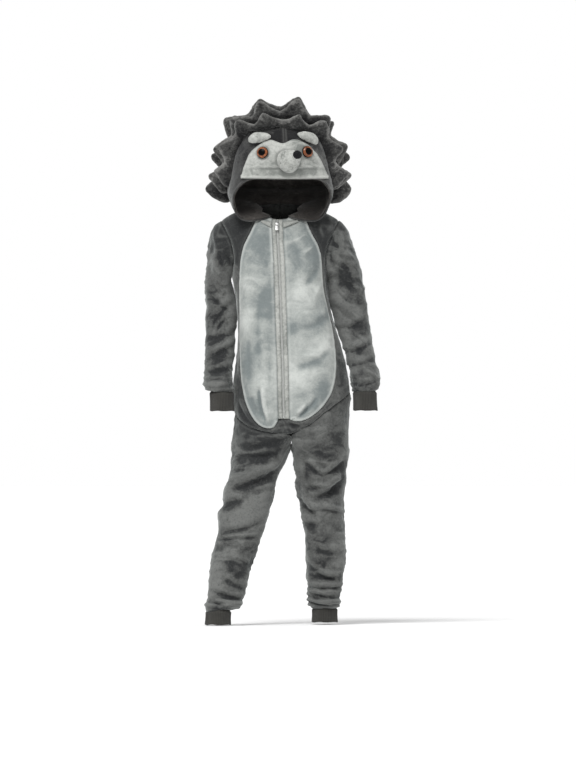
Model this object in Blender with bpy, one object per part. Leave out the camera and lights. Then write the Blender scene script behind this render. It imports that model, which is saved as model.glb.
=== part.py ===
"""A child's hooded hedgehog onesie in plush, hollow, in the pose in which it is worn.

All sizes below are in millimetres; MM turns them into metres when a mesh is made.
+Z is up and the front faces -Y. The wearer's right is -X. The origin lies between the
shoulders, level with the top of the zip. Angles round a ring are in degrees: round the
body 0 is the centre front and 90 the side seam; round a sleeve or a leg 0 is the outer
side, 90 the front and 180 the inner side.
"""
import math
from collections import namedtuple

import bmesh
import bpy
from mathutils import Matrix, Vector

MM = 0.001

# Cloth and seams
PLUSH = 3.0             # wall of the plush
LINING = 1.6            # wall of the hood's lining
SEAM = 0.4              # gap between two pieces that are sewn edge to edge
LAID_ON = 1.0           # gap under a piece that lies on another
SQUARE = 2.3            # how square the body's rings are; 2 is an ellipse

# The body, from the hips to the neck
BodyRing = namedtuple("BodyRing", "level z_front z_back x_mid half_width front back")
BODY = [
    BodyRing(-545, -545, -545, 25, 136, 88, 98),
    BodyRing(-500, -500, -500, 26, 135, 94, 104),
    BodyRing(-460, -460, -460, 28, 134, 99, 104),
    BodyRing(-414, -414, -414, 26, 139, 104, 100),
    BodyRing(-370, -370, -370, 26, 136, 105, 95),
    BodyRing(-325, -325, -325, 25, 128, 103, 90),
    BodyRing(-285, -285, -285, 21, 121, 101, 87),
    BodyRing(-250, -250, -250, 16, 115, 98, 86),
    BodyRing(-200, -200, -200, 8, 110, 94, 87),
    BodyRing(-160, -160, -160, 3, 111, 91, 88),
    BodyRing(-122, -122, -122, 0, 113, 88, 88),
    BodyRing(-90, -88, -87, 0, 117, 84, 87),
    BodyRing(-60, -59, -55, 0, 124, 80, 84),
    BodyRing(-30, -36, -22, 0, 132, 75, 79),
    BodyRing(-8, -21, 0, 0, 138, 70, 71),
    BodyRing(4, -14, 14, 0, 138, 67, 64),
    BodyRing(16, -7, 26, 0, 120, 63, 56),
    BodyRing(27, -2, 34, 0, 90, 60, 49),
    BodyRing(33, 2, 40, 0, 74, 58, 45),
    BodyRing(38, 4, 45, 0, 70, 57, 44),
]
NECK_LEVEL = 38

# The armhole: a loop on the body from the shoulder point to the armpit and back
SHOULDER_LEVEL = 3
ARMPIT_LEVEL = -122
ARMHOLE_FRONT_CUT = 28   # degrees that the loop swings to the front
ARMHOLE_BACK_CUT = 22    # degrees that it swings to the back

# The seam between the body and the legs, by the angle round the body
HipSeam = namedtuple("HipSeam", "angle right left")
HIP_SEAM = [
    HipSeam(0, -497, -497),
    HipSeam(15, -496, -478),
    HipSeam(30, -491, -453),
    HipSeam(45, -483, -430),
    HipSeam(60, -471, -416),
    HipSeam(75, -460, -406),
    HipSeam(90, -450, -400),
]
HIP_BACK = -505          # level of the same seam at the centre back
CROTCH_DROP = 26         # how far the crotch seam sags between front and back

# The light belly: its outer edge, and the height on the zip that each spot pairs with.
# run counts the dark front's outer edge: 0-1 shoulder, 1-2 armhole, 2-3 side, 3-4 hip seam
BellyEdge = namedtuple("BellyEdge", "run x z zip_z")
BELLY_RIGHT = [
    BellyEdge(0.0, -52, 12, 3),
    BellyEdge(1.0, -66, -22, -20),
    BellyEdge(1.5, -86, -64, -62),
    BellyEdge(2.0, -94, -125, -125),
    BellyEdge(2.4, -94, -235, -232),
    BellyEdge(2.7, -94, -310, -302),
    BellyEdge(2.87, -90, -378, -362),
    BellyEdge(3.0, -80, -425, -405),
    BellyEdge(3.33, -60, -466, -434),
    BellyEdge(3.6, -36, -484, -450),
    BellyEdge(3.833, -14, -483, -462),
    BellyEdge(4.0, 9.5, -463, -463),
]
BELLY_LEFT = [
    BellyEdge(0.0, 57, 16, 3),
    BellyEdge(1.0, 70, -22, -20),
    BellyEdge(1.5, 92, -64, -62),
    BellyEdge(1.75, 98, -98, -98),
    BellyEdge(2.0, 99, -132, -130),
    BellyEdge(2.2, 105, -180, -176),
    BellyEdge(2.4, 118, -230, -224),
    BellyEdge(2.6, 128, -284, -276),
    BellyEdge(2.8, 132, -340, -328),
    BellyEdge(2.92, 128, -385, -370),
    BellyEdge(3.05, 112, -420, -402),
    BellyEdge(3.3, 84, -450, -426),
    BellyEdge(3.6, 55, -467, -447),
    BellyEdge(3.833, 32, -467, -462),
    BellyEdge(4.0, 9.5, -463, -463),
]
BELLY_END = 3 + 5 / 6    # run at which the belly's lobe ends
BELLY_PUFF = 7.0         # how far the belly stands out between its seams
FRONT_ROLL = 4.0         # how far the dark front rolls out over the legs

# The zip
ZipSpot = namedtuple("ZipSpot", "z x")
ZIP_LINE = [ZipSpot(-500, 20), ZipSpot(-470, 10), ZipSpot(-352, 7), ZipSpot(-230, 3),
            ZipSpot(-110, -1), ZipSpot(10, -7)]
CHAIN_HALF = 2.6         # half the width of the teeth
BAND_WIDTH = 10.5        # width of the plush band on each side
BAND_PUFF = 2.2          # how far a band is crowned
ZIP_FOOT = 462           # depth of the zip's lower end below the origin

# Sleeves: the outer and the inner end of each ring
LimbRing = namedtuple("LimbRing", "outer_x outer_z inner_x inner_z y_mid half_depth")
SLEEVE_RIGHT = [
    LimbRing(-162, -18, -118, -132, 2, 50),
    LimbRing(-169, -54, -118, -141, 4, 46),
    LimbRing(-174, -96, -116, -153, 6, 43),
    LimbRing(-176, -140, -113, -174, 7, 41),
    LimbRing(-176, -188, -109, -204, 6, 39),
    LimbRing(-176, -235, -107, -238, 2, 38),
    LimbRing(-176, -282, -109, -282, -8, 37),
    LimbRing(-177, -325, -111, -325, -23, 36),
    LimbRing(-177, -360, -113, -360, -38, 35),
    LimbRing(-173, -386, -111, -386, -49, 33),
    LimbRing(-165, -398, -108, -398, -53, 28.5),
]
SLEEVE_LEFT = [
    LimbRing(162, -18, 118, -131, 2, 50),
    LimbRing(174, -52, 119, -139, 4, 46),
    LimbRing(188, -94, 119, -151, 6, 43),
    LimbRing(197, -137, 121, -170, 7, 41),
    LimbRing(204, -180, 126, -200, 7, 40),
    LimbRing(211, -222, 136, -230, 4, 39),
    LimbRing(218, -264, 147, -264, -6, 38),
    LimbRing(222, -304, 158, -302, -18, 37),
    LimbRing(228, -344, 166, -340, -30, 36),
    LimbRing(231, -374, 170, -374, -39, 34),
    LimbRing(227, -398, 170, -398, -43, 28.5),
]

# Legs: below the hip seam, down to the ankle
LEG_RIGHT = [
    LimbRing(-114, -545, 17, -556, 0, 76),
    LimbRing(-117, -580, 3, -585, -6, 71),
    LimbRing(-124, -618, -8, -620, -14, 66),
    LimbRing(-132, -655, -17, -655, -22, 62),
    LimbRing(-141, -700, -30, -700, -33, 58),
    LimbRing(-150, -740, -43, -740, -44, 56),
    LimbRing(-160, -785, -58, -785, -58, 54),
    LimbRing(-168, -832, -71, -832, -74, 51),
    LimbRing(-172, -872, -82, -872, -89, 48),
    LimbRing(-175, -900, -92, -900, -99, 45),
    LimbRing(-174, -913, -113, -913, -105, 31),
]
LEG_LEFT = [
    LimbRing(161, -545, 31, -556, 2, 76),
    LimbRing(156, -580, 33, -585, 3, 70),
    LimbRing(152, -618, 36, -620, 4, 65),
    LimbRing(149, -655, 43, -655, 5, 61),
    LimbRing(154, -705, 54, -705, 6, 57),
    LimbRing(156, -745, 58, -745, 6, 55),
    LimbRing(155, -790, 60, -790, 6, 53),
    LimbRing(151, -832, 63, -832, 6, 51),
    LimbRing(148, -868, 64, -868, 6, 48),
    LimbRing(144, -894, 65, -894, 6, 45),
    LimbRing(135, -908, 75, -908, 6, 31),
]

# Ribbed cuffs: the upper and the lower end of their axis
Cuff = namedtuple("Cuff", "name top foot half_width half_depth")
CUFFS = [
    Cuff("wrist_cuff_right", (-136.5, -53, -399.2), (-135, -60, -444), 28, 28),
    Cuff("wrist_cuff_left", (198.5, -43, -398.8), (200, -48, -443), 28, 28),
    Cuff("ankle_cuff_right", (-143.5, -105, -913.8), (-145, -107, -943), 30, 30),
    Cuff("ankle_cuff_left", (105, 6, -908.8), (105, 6, -939), 30, 30),
]
CUFF_WALL = 2.4
RIB_HEIGHT = 1.1
RIBS = 20

# The hood: rings from the neck to the crown; z runs from the front to the back of a ring
HoodRing = namedtuple("HoodRing", "level z_front z_back half_width front back square")
HOOD = [
    HoodRing(0, 4, 45, 70, 57, 44, 2.3),
    HoodRing(1, -48, 66, 104, 108, 76, 2.6),
    HoodRing(2, -6, 74, 118, 116, 98, 3.2),
    HoodRing(3, 42, 86, 126, 120, 110, 4.2),
    HoodRing(4, 96, 103, 122, 121, 118, 3.0),
    HoodRing(5, 130, 130, 118, 127, 121, 2.5),
    HoodRing(6, 167, 163, 112, 125, 117, 2.3),
    HoodRing(7, 201, 197, 98, 110, 105, 2.2),
    HoodRing(8, 229, 226, 76, 84, 84, 2.1),
    HoodRing(9, 247, 246, 43, 48, 49, 2.0),
    HoodRing(10, 254, 254, 0, 0, 0, 2.0),
]
HOOD_NECK_GAP = 1.8      # between the body's neck and the hood's
HOOD_DIP = 1.6           # how quickly the rings drop towards the front
HOOD_ROLL = 10.0         # how far the hood rises over the neck seam before it falls
HOOD_TURN = 6.0          # degrees that the head is turned to the wearer's left
BRIM_LEVEL = 4           # ring that ends over the face opening
# The edge of the face opening, by the ring's level, as the angle from the centre front
OpeningEdge = namedtuple("OpeningEdge", "level angle")
HOOD_OPENING = [OpeningEdge(0, 13), OpeningEdge(0.5, 38), OpeningEdge(1, 54), OpeningEdge(2, 61),
                OpeningEdge(3, 64), OpeningEdge(3.5, 56), OpeningEdge(4, 40)]

# The light face on the hood: heights of its lower and upper edge across its width
FaceEdge = namedtuple("FaceEdge", "x lower upper")
FACE = [
    FaceEdge(-88, 99, 104),
    FaceEdge(-78, 99, 145),
    FaceEdge(-60, 99, 167),
    FaceEdge(-26, 99, 189),
    FaceEdge(9, 99, 177),
    FaceEdge(31, 99, 190),
    FaceEdge(69, 99, 173),
    FaceEdge(92, 99, 147),
    FaceEdge(110, 99, 104),
]
FACE_ROWS, FACE_COLUMNS = 5, 14
FACE_WALL = 2.4
FACE_GAP = 1.5           # under the face, whose hood is rounder than its flat facets

# Stuffed pieces on the face
Pad = namedtuple("Pad", "name x z lift half_length half_width height tilt")
EARS = [
    Pad("ear_right", -46, 192, 4.6, 29, 12, 15, 8),
    Pad("ear_left", 65, 194, 1.8, 29, 12, 15, -22),
]
Eye = namedtuple("Eye", "name x z radius dome")
EYE_SEAT = 1.4           # from the face to the middle of an eye
EYES = [Eye("eye_right", -39, 158, 14, 8), Eye("eye_left", 62, 160, 14, 8)]
SNOUT_ROOT = (16, 138)   # x and z of its root on the face
SNOUT_REACH = 48         # length along its axis
SNOUT_RISE = 16          # how far the tip is above the root
SNOUT_SWAY = 18          # how far the tip lies to the wearer's left
SNOUT_RADIUS = 29
SNOUT_SEAT = 3.6         # from the face to the snout's flat foot
NOSE_RADIUS = 12
NOSE_FLAT = 0.72         # length of the nose along the snout, as a share of its width
NOSE_SEAT = 0.7          # gap between the snout's tip and the nose

# Rows of stuffed spikes over the hood: each lies in a plane across the head
SpikeRow = namedtuple("SpikeRow", "name y lean brow foot_angle spikes height valley")
SPIKE_ROWS = [
    SpikeRow("spike_row_1", -40, -0.10, 38, -10, 8, 44, 14),
    SpikeRow("spike_row_2", -8, -0.12, 14, -16, 8, 52, 14),
    SpikeRow("spike_row_3", 26, -0.05, 0, -25, 8, 52, 14),
    SpikeRow("spike_row_4", 58, -0.02, 0, -11, 8, 46, 13),
    SpikeRow("spike_row_5", 90, -0.10, 0, 0, 6, 42, 13),
]
SPIKE_STEPS = 6          # stations for each spike
SPIKE_THICK = 21         # at the root
SPIKE_EDGE = 4.0         # at the sewn edge
SPIKE_SEAT = 1.0         # gap under a row
HOOD_AXIS_Z = 100        # height from which the rows fan out
BROW_Z = 190             # height above which a row swings forward, by brow in 1/1000 mm

# Folds: across and along are the middle of a fold, both in millimetres on the surface
Fold = namedtuple("Fold", "across along turn half_length width depth")
BELLY_FOLDS = [
    Fold(-58, -440, 112, 52, 7, -6),
    Fold(-38, -455, 120, 36, 9, 4),
    Fold(47, -446, 62, 24, 7, -5),
    Fold(78, -400, 58, 60, 12, -3),
    Fold(-50, -330, 84, 90, 13, -3),
    Fold(60, -290, 76, 80, 15, -3),
    Fold(-48, -180, 96, 70, 14, -2.5),
    Fold(44, -130, 60, 60, 14, -2.5),
    Fold(20, -240, 100, 60, 10, 2.0),
]
BACK_FOLDS = [
    Fold(-50, -470, 158, 60, 12, -8),
    Fold(52, -465, 22, 60, 12, -8),
    Fold(-40, -330, 10, 60, 15, -4),
    Fold(45, -300, -14, 60, 15, -4),
    Fold(-20, -400, 170, 70, 15, -6),
    Fold(40, -420, 12, 60, 14, -6),
    Fold(-70, -150, 62, 50, 13, -6),
    Fold(72, -150, 118, 50, 13, -6),
    Fold(-30, -80, 80, 40, 15, -4),
]
SLEEVE_FOLDS_RIGHT = [
    Fold(22, -90, 74, 60, 15, -11),
    Fold(48, -150, 120, 66, 15, -11),
    Fold(30, -205, 24, 44, 15, -8),
    Fold(56, -238, 10, 42, 15, -11),
    Fold(40, -272, -14, 42, 15, -8),
    Fold(52, -318, 16, 40, 15, -8),
    Fold(30, -352, -10, 44, 15, -8),
    Fold(150, -225, 12, 40, 15, -11),
    Fold(170, -262, -12, 40, 15, -8),
    Fold(160, -335, 8, 46, 15, -8),
    Fold(45, -378, 4, 60, 15, 8),
    Fold(165, -376, -4, 60, 15, 8),
]
SLEEVE_FOLDS_LEFT = [
    Fold(60, -86, 66, 50, 15, -14),
    Fold(44, -90, 74, 44, 15, 8),
    Fold(30, -100, 80, 46, 15, -11),
    Fold(60, -160, 58, 54, 15, -11),
    Fold(36, -210, 30, 46, 15, -11),
    Fold(60, -250, 12, 44, 15, -11),
    Fold(34, -285, -16, 44, 15, -8),
    Fold(56, -325, 18, 40, 15, -8),
    Fold(160, -215, -10, 44, 15, -11),
    Fold(150, -270, 12, 40, 15, -8),
    Fold(165, -330, -8, 46, 15, -8),
    Fold(45, -368, 4, 60, 15, 8),
    Fold(165, -366, -4, 60, 15, 8),
]
LEG_FOLDS_RIGHT = [
    Fold(80, -545, 4, 70, 15, -11),
    Fold(60, -580, -8, 62, 15, -14),
    Fold(20, -608, 20, 46, 15, 11),
    Fold(90, -640, -12, 50, 15, -8),
    Fold(25, -668, 10, 44, 15, 8),
    Fold(90, -720, 10, 60, 15, -11),
    Fold(70, -755, -14, 54, 15, -11),
    Fold(120, -790, 8, 44, 15, -8),
    Fold(60, -835, -10, 52, 15, -11),
    Fold(85, -868, 8, 64, 15, -11),
    Fold(70, -893, -6, 70, 15, -11),
    Fold(240, -600, 10, 66, 15, -11),
    Fold(260, -735, -8, 70, 15, -15),
    Fold(240, -770, 10, 60, 15, -11),
    Fold(250, -850, -8, 60, 15, -11),
    Fold(240, -885, 6, 66, 15, -11),
]
LEG_FOLDS_LEFT = [
    Fold(80, -560, 18, 64, 15, -11),
    Fold(30, -596, -14, 50, 15, 11),
    Fold(70, -625, 14, 58, 15, -14),
    Fold(100, -668, -16, 50, 15, -8),
    Fold(60, -712, 10, 58, 15, -11),
    Fold(90, -752, -12, 54, 15, -11),
    Fold(50, -790, 16, 50, 15, -11),
    Fold(80, -822, -12, 56, 15, -14),
    Fold(60, -852, 12, 60, 15, -11),
    Fold(85, -880, -6, 64, 15, -14),
    Fold(240, -600, -10, 66, 15, -11),
    Fold(255, -725, 8, 70, 15, -15),
    Fold(240, -765, -10, 60, 15, -11),
    Fold(250, -840, 8, 60, 15, -11),
    Fold(240, -875, -6, 66, 15, -11),
]
HOOD_FOLDS = [
    Fold(95, 30, 70, 46, 10, -4),
    Fold(130, 60, 100, 60, 12, -4),
    Fold(170, 30, 20, 40, 9, -4),
]

# Mesh density
ARMHOLE_STEPS = 8        # down one side of the armhole
SIDE_STEPS = 9           # down the side seam
HIP_STEPS = 6            # from the side to the centre
CROTCH_STEPS = 3         # half of the crotch seam
BACK_STEPS = 6
FRONT_STEPS = 3
BELLY_STEPS = 4
SLEEVE_RINGS = 17
LEG_RINGS = 18
HOOD_DOME_ROWS = 6
HOOD_SKIRT_ROWS = 5
HOOD_BROW_STEPS = 3
HOOD_SIDE_STEPS = 7

Finish = namedtuple("Finish", "name color roughness metallic")
DARK_PLUSH = Finish("dark_grey_plush", (0.085, 0.092, 0.092), 0.9, 0.0)
LIGHT_PLUSH = Finish("light_grey_plush", (0.38, 0.41, 0.405), 0.9, 0.0)
RIB_KNIT = Finish("charcoal_rib_knit", (0.06, 0.058, 0.053), 0.95, 0.0)
LINING_KNIT = Finish("charcoal_lining", (0.04, 0.036, 0.032), 0.95, 0.0)
EYE_PLASTIC = Finish("amber_eye_plastic", (0.25, 0.09, 0.03), 0.15, 0.0)
NOSE_KNIT = Finish("black_nose_knit", (0.01, 0.01, 0.011), 0.6, 0.0)
ZIP_TEETH = Finish("zip_teeth_grey", (0.2, 0.2, 0.2), 0.5, 0.0)
SILVER = Finish("silver_zip_metal", (0.75, 0.75, 0.74), 0.25, 1.0)

SIDES = (("right", -1), ("left", 1))


# ------------------------------------------------------------------ reading the tables

def spline(before, start, end, after, share):
    """Value between start and end on a smooth curve through four values."""
    slope_in = (end - before) / 2
    slope_out = (after - start) / 2
    square, cube = share * share, share ** 3
    return ((2 * cube - 3 * square + 1) * start + (cube - 2 * square + share) * slope_in
            + (3 * square - 2 * cube) * end + (cube - square) * slope_out)


def read_table(rows, key):
    """All columns of a table at a key, which is its first column, smoothly between rows."""
    last = len(rows) - 1
    at = 0
    while at < last - 1 and key > rows[at + 1][0]:
        at += 1
    start, end = rows[at], rows[at + 1]
    before, after = rows[max(at - 1, 0)], rows[min(at + 2, last)]
    share = min(max((key - start[0]) / (end[0] - start[0]), 0.0), 1.0)
    values = [spline(b, s, e, a, share) for b, s, e, a in zip(before, start, end, after)]
    return type(start)(*values)


def read_rings(rows, place):
    """A ring of a list at a place counted in rows, smoothly between them."""
    last = len(rows) - 1
    at = min(int(place), last - 1)
    before, after = rows[max(at - 1, 0)], rows[min(at + 2, last)]
    values = [spline(b, s, e, a, place - at)
              for b, s, e, a in zip(before, rows[at], rows[at + 1], after)]
    return type(rows[at])(*values)


def signed_power(value, power):
    """A power that keeps the sign, for rings between an ellipse and a rectangle."""
    return math.copysign(abs(value) ** power, value)


def ease(share):
    """Smooth step from 0 to 1."""
    share = min(max(share, 0.0), 1.0)
    return share * share * (3 - 2 * share)


def relief(folds, across, along, around=None):
    """Lift of the cloth by its folds at one spot; around is the girth of a closed ring."""
    lift = 0.0
    for fold in folds:
        turn = math.radians(fold.turn)
        offset = across - fold.across
        if around:
            offset = (offset + around / 2) % around - around / 2
        rise = along - fold.along
        run = offset * math.cos(turn) + rise * math.sin(turn)
        side = rise * math.cos(turn) - offset * math.sin(turn)
        fade = max(0.0, 1 - (run / fold.half_length) ** 2)
        lift += fold.depth * fade * math.exp(-(side / fold.width) ** 2)
    return lift


# ------------------------------------------------------------------ building the solids

def make_material(finish):
    """A Principled material of the finish, shared by the pieces that have it."""
    material = bpy.data.materials.get(finish.name)
    if material is None:
        material = bpy.data.materials.new(finish.name)
        material.use_nodes = True
        shader = material.node_tree.nodes["Principled BSDF"]
        shader.inputs["Base Color"].default_value = (*finish.color, 1)
        shader.inputs["Roughness"].default_value = finish.roughness
        shader.inputs["Metallic"].default_value = finish.metallic
    return material


def finish_object(name, bm, finish, sharp_degrees=40):
    """Turn a mesh in millimetres into a named object in metres with its own material."""
    bmesh.ops.recalc_face_normals(bm, faces=bm.faces[:])
    bmesh.ops.scale(bm, vec=(MM, MM, MM), verts=bm.verts[:])
    mesh = bpy.data.meshes.new(name)
    bm.to_mesh(mesh)
    bm.free()
    mesh.shade_smooth()
    mesh.set_sharp_from_angle(angle=math.radians(sharp_degrees))
    mesh.materials.append(make_material(finish))
    made = bpy.data.objects.new(name, mesh)
    bpy.context.collection.objects.link(made)
    return made


def trim(grid, edges, by=SEAM / 2):
    """Draw the named edges of a grid of (point, step) back from the seam line."""
    last_row, last_column = len(grid) - 1, len(grid[0]) - 1

    def at(row, column):
        return grid[min(max(row, 0), last_row)][min(max(column, 0), last_column)][0]

    moves = []
    for row in range(last_row + 1):
        for column in range(last_column + 1):
            inward = Vector()
            for edge, on_edge, row_in, column_in in (
                    ("first_row", row == 0, 1, 0), ("last_row", row == last_row, -1, 0),
                    ("first_column", column == 0, 0, 1),
                    ("last_column", column == last_column, 0, -1)):
                if on_edge and edge in edges:
                    toward = at(row + row_in, column + column_in) - at(row, column)
                    along = (at(row + column_in, column + row_in)
                             - at(row - column_in, column - row_in)).normalized()
                    inward += (toward - along * toward.dot(along)).normalized() * by
            if inward.length > 0:
                moves.append((row, column, inward))
    for row, column, inward in moves:
        point, step = grid[row][column]
        grid[row][column] = (point + inward, step)
    return grid


def add_sheet(bm, step_layer, grid):
    """Lay a sheet of faces through a grid of points, and note the step to the inner wall."""
    rows, columns = len(grid) - 1, len(grid[0]) - 1
    made = bmesh.ops.create_grid(bm, x_segments=columns, y_segments=rows, size=0.5)
    for vert in made["verts"]:
        row = round((vert.co.y + 0.5) * rows)
        column = round((vert.co.x + 0.5) * columns)
        vert.co, vert[step_layer] = grid[row][column]


def cloth(name, grids, finish):
    """A wall of cloth: sheets joined where they meet, then extruded by their steps."""
    bm = bmesh.new()
    step_layer = bm.verts.layers.float_vector.new("step")
    for grid in grids:
        add_sheet(bm, step_layer, grid)
    bmesh.ops.remove_doubles(bm, verts=bm.verts[:], dist=0.02)
    bmesh.ops.triangulate(bm, faces=bm.faces[:])
    extruded = bmesh.ops.extrude_face_region(bm, geom=bm.faces[:], use_keep_orig=True)
    for item in extruded["geom"]:
        if isinstance(item, bmesh.types.BMVert):
            item.co += item[step_layer]
    return finish_object(name, bm, finish)


# ------------------------------------------------------------------ the body's surface

def body_point(angle, level):
    """Point of the body's smooth surface, before folds and puff."""
    ring = read_table(BODY, level)
    turn = math.radians(angle)
    power = 2 / SQUARE
    facing = math.cos(turn)
    depth, z_edge = (ring.front, ring.z_front) if facing > 0 else (ring.back, ring.z_back)
    return Vector((ring.x_mid + ring.half_width * signed_power(math.sin(turn), power),
                   -depth * signed_power(facing, power),
                   level + (z_edge - level) * facing * facing))


def surface_normal(surface, first, second, nudge=0.5):
    """Outward normal of a surface whose first value runs to +X at the front, second up."""
    across = surface(first + nudge, second) - surface(first - nudge, second)
    upward = surface(first, second + nudge) - surface(first, second - nudge)
    return across.cross(upward).normalized()


def body_normal(angle, level):
    """Outward normal of the body."""
    return surface_normal(body_point, angle, min(level, NECK_LEVEL - 0.6))


def body_spot(x, z):
    """Angle and level of the front point that has this x and z."""
    level, angle = z, 0.0
    for _ in range(8):
        ring = read_table(BODY, level)
        share = min(max((x - ring.x_mid) / ring.half_width, -0.999), 0.999)
        angle = math.degrees(math.asin(signed_power(share, SQUARE / 2)))
        level += z - body_point(angle, level).z
        level = min(max(level, BODY[0].level), NECK_LEVEL)
    return angle, level


def armhole_spot(side, turn):
    """Angle and level on the armhole; turn 0 is the shoulder, 90 the front, 180 the armpit."""
    swing = math.sin(math.radians(turn))
    cut = ARMHOLE_FRONT_CUT if swing > 0 else ARMHOLE_BACK_CUT
    middle = (SHOULDER_LEVEL + ARMPIT_LEVEL) / 2
    half = (SHOULDER_LEVEL - ARMPIT_LEVEL) / 2
    return side * (90 - cut * swing), middle + half * math.cos(math.radians(turn))


def armhole_middle(side):
    """Middle of the armhole loop, to which its seam allowance turns."""
    points = [body_point(*armhole_spot(side, turn)) for turn in range(0, 360, 45)]
    return sum(points, Vector()) / len(points)


def hip_level(side, angle):
    """Level of the seam between the body and a leg, at an angle from the centre front."""
    if angle <= 90:
        row = read_table(HIP_SEAM, angle)
        return row.right if side < 0 else row.left
    side_level = HIP_SEAM[-1].right if side < 0 else HIP_SEAM[-1].left
    return side_level + (HIP_BACK - side_level) * ease((angle - 90) / 90)


def outer_spot(side, run):
    """Angle and level on the dark front's outer edge, by its run from 0 to 4."""
    if run <= 1:
        return side * 90, NECK_LEVEL + (SHOULDER_LEVEL - NECK_LEVEL) * run
    if run <= 2:
        return armhole_spot(side, (run - 1) * 180)
    if run <= 3:
        side_level = hip_level(side, 90)
        return side * 90, ARMPIT_LEVEL + (side_level - ARMPIT_LEVEL) * (run - 2)
    angle = 90 * (4 - run)
    return side * angle, hip_level(side, angle)


def back_spot(side, run):
    """The same for the back's outer edge, whose run goes from 0 to 3."""
    if 1 < run < 2:
        return armhole_spot(side, 360 - (run - 1) * 180)
    return outer_spot(side, min(run, 3))


def outer_runs():
    """Runs of the rows of the dark front, the belly and the back."""
    runs = [0.0, 0.5]
    runs += [1 + step / ARMHOLE_STEPS for step in range(ARMHOLE_STEPS + 1)]
    runs += [2 + step / SIDE_STEPS for step in range(1, SIDE_STEPS + 1)]
    return runs


def front_runs():
    """Runs of the rows of the dark front, as far as the centre."""
    return outer_runs() + [3 + step / HIP_STEPS for step in range(1, HIP_STEPS + 1)]


def zip_foot_row(side, row_above, row_below):
    """Row of the dark front that ends in the corner between the belly and the zip's foot."""
    corner = body_spot(zip_x(-ZIP_FOOT) + side * (CHAIN_HALF + BAND_WIDTH), -ZIP_FOOT)
    start, normal = body_point(*corner), body_normal(*corner)
    end = (row_above[-1][0] + row_below[-1][0]) / 2
    row = [(start.lerp(end, step / FRONT_STEPS), -normal * PLUSH)
           for step in range(FRONT_STEPS + 1)]
    row[-1] = (end, (row_above[-1][1] + row_below[-1][1]) / 2)
    return row


def zip_x(z):
    """Place of the zip's line across the body."""
    return read_table(ZIP_LINE, z).x


def seam_step(side, run, point, normal):
    """Step to the inner wall on the armhole, where the allowance turns into the sleeve."""
    toward = (armhole_middle(side) - point).normalized()
    share = min(ease((run - 1) * 6), ease((2 - run) * 6)) if 1 < run < 2 else 0.0
    if run == 2:
        share = 1.0
    return (toward * share - normal * (1 - share)).normalized() * PLUSH


def spot_between(start, end, share):
    """Angle and level between two spots."""
    return (start[0] + (end[0] - start[0]) * share, start[1] + (end[1] - start[1]) * share)


def belly_table(side):
    """The belly's edge on one side."""
    return BELLY_RIGHT if side < 0 else BELLY_LEFT


def belly_edge_spot(side, run):
    """Angle and level on the seam between the belly and the dark front."""
    edge = read_table(belly_table(side), run)
    angle, level = body_spot(edge.x, edge.z)
    return (angle, NECK_LEVEL if run == 0 else level)


def front_rows(side):
    """Dark front: each row runs from the belly's edge to the outer edge."""
    grid = []
    for run in front_runs():
        inner_spot = belly_edge_spot(side, run)
        row = []
        for step in range(FRONT_STEPS + 1):
            share = step / FRONT_STEPS
            angle, level = spot_between(inner_spot, outer_spot(side, run), share)
            point, normal = body_point(angle, level), body_normal(angle, level)
            roll = FRONT_ROLL * math.sin(math.pi * share) * ease((run - 2.8) * 2)
            step_in = seam_step(side, run, point, normal) if share == 1 else -normal * PLUSH
            row.append((point + normal * roll, step_in))
        grid.append(row)
    grid.insert(-1, zip_foot_row(side, grid[-2], grid[-1]))
    return trim(grid, {"first_column", "last_column", "last_row"})


def belly_runs():
    """Runs of the belly's rows."""
    return [run for run in front_runs() if run < BELLY_END - 0.01] + [BELLY_END]


def belly_place(side, run, share):
    """Point and normal of the light belly; share is 0 at the zip's band, 1 at the edge."""
    edge = read_table(belly_table(side), run)
    inner = body_spot(zip_x(edge.zip_z) + side * (CHAIN_HALF + BAND_WIDTH), edge.zip_z)
    if run == 0:
        inner = (inner[0], NECK_LEVEL)
    angle, level = spot_between(inner, belly_edge_spot(side, run), share)
    point, normal = body_point(angle, level), body_normal(angle, level)
    middle = math.sin(math.pi * share) ** 0.7 if share < 1 else 0.0
    ends = min(run, 1) * ease((BELLY_END - run) * 3)
    lift = middle * ends * (BELLY_PUFF + relief(BELLY_FOLDS, point.x, point.z))
    return point + normal * lift, normal


def belly_rows(side):
    """Light belly: each row runs from the zip's band to the belly's edge."""
    shares = [step / BELLY_STEPS for step in range(BELLY_STEPS + 1)]
    grid = []
    for run in belly_runs():
        places = [belly_place(side, run, share) for share in shares]
        grid.append([(point, -normal * PLUSH) for point, normal in places])
    return trim(grid, {"first_column", "last_column", "last_row"})


def zip_levels(side):
    """Heights at which the belly's rows meet the zip's band."""
    return [read_table(belly_table(side), run).zip_z for run in belly_runs()]


def strip_rows(levels, start, end, columns, lift, wall):
    """A strip beside the zip line, between two offsets across it, crowned by lift."""
    grid = []
    for number, z in enumerate(levels):
        row = []
        for step in range(columns + 1):
            share = step / columns
            angle, level = body_spot(zip_x(z) + start + (end - start) * share, z)
            level = NECK_LEVEL if number == 0 else level
            point, normal = body_point(angle, level), body_normal(angle, level)
            crown = lift * math.sin(math.pi * share) * min(number / 2, 1)
            row.append((point + normal * crown, -normal * wall))
        grid.append(row)
    return grid


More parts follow.
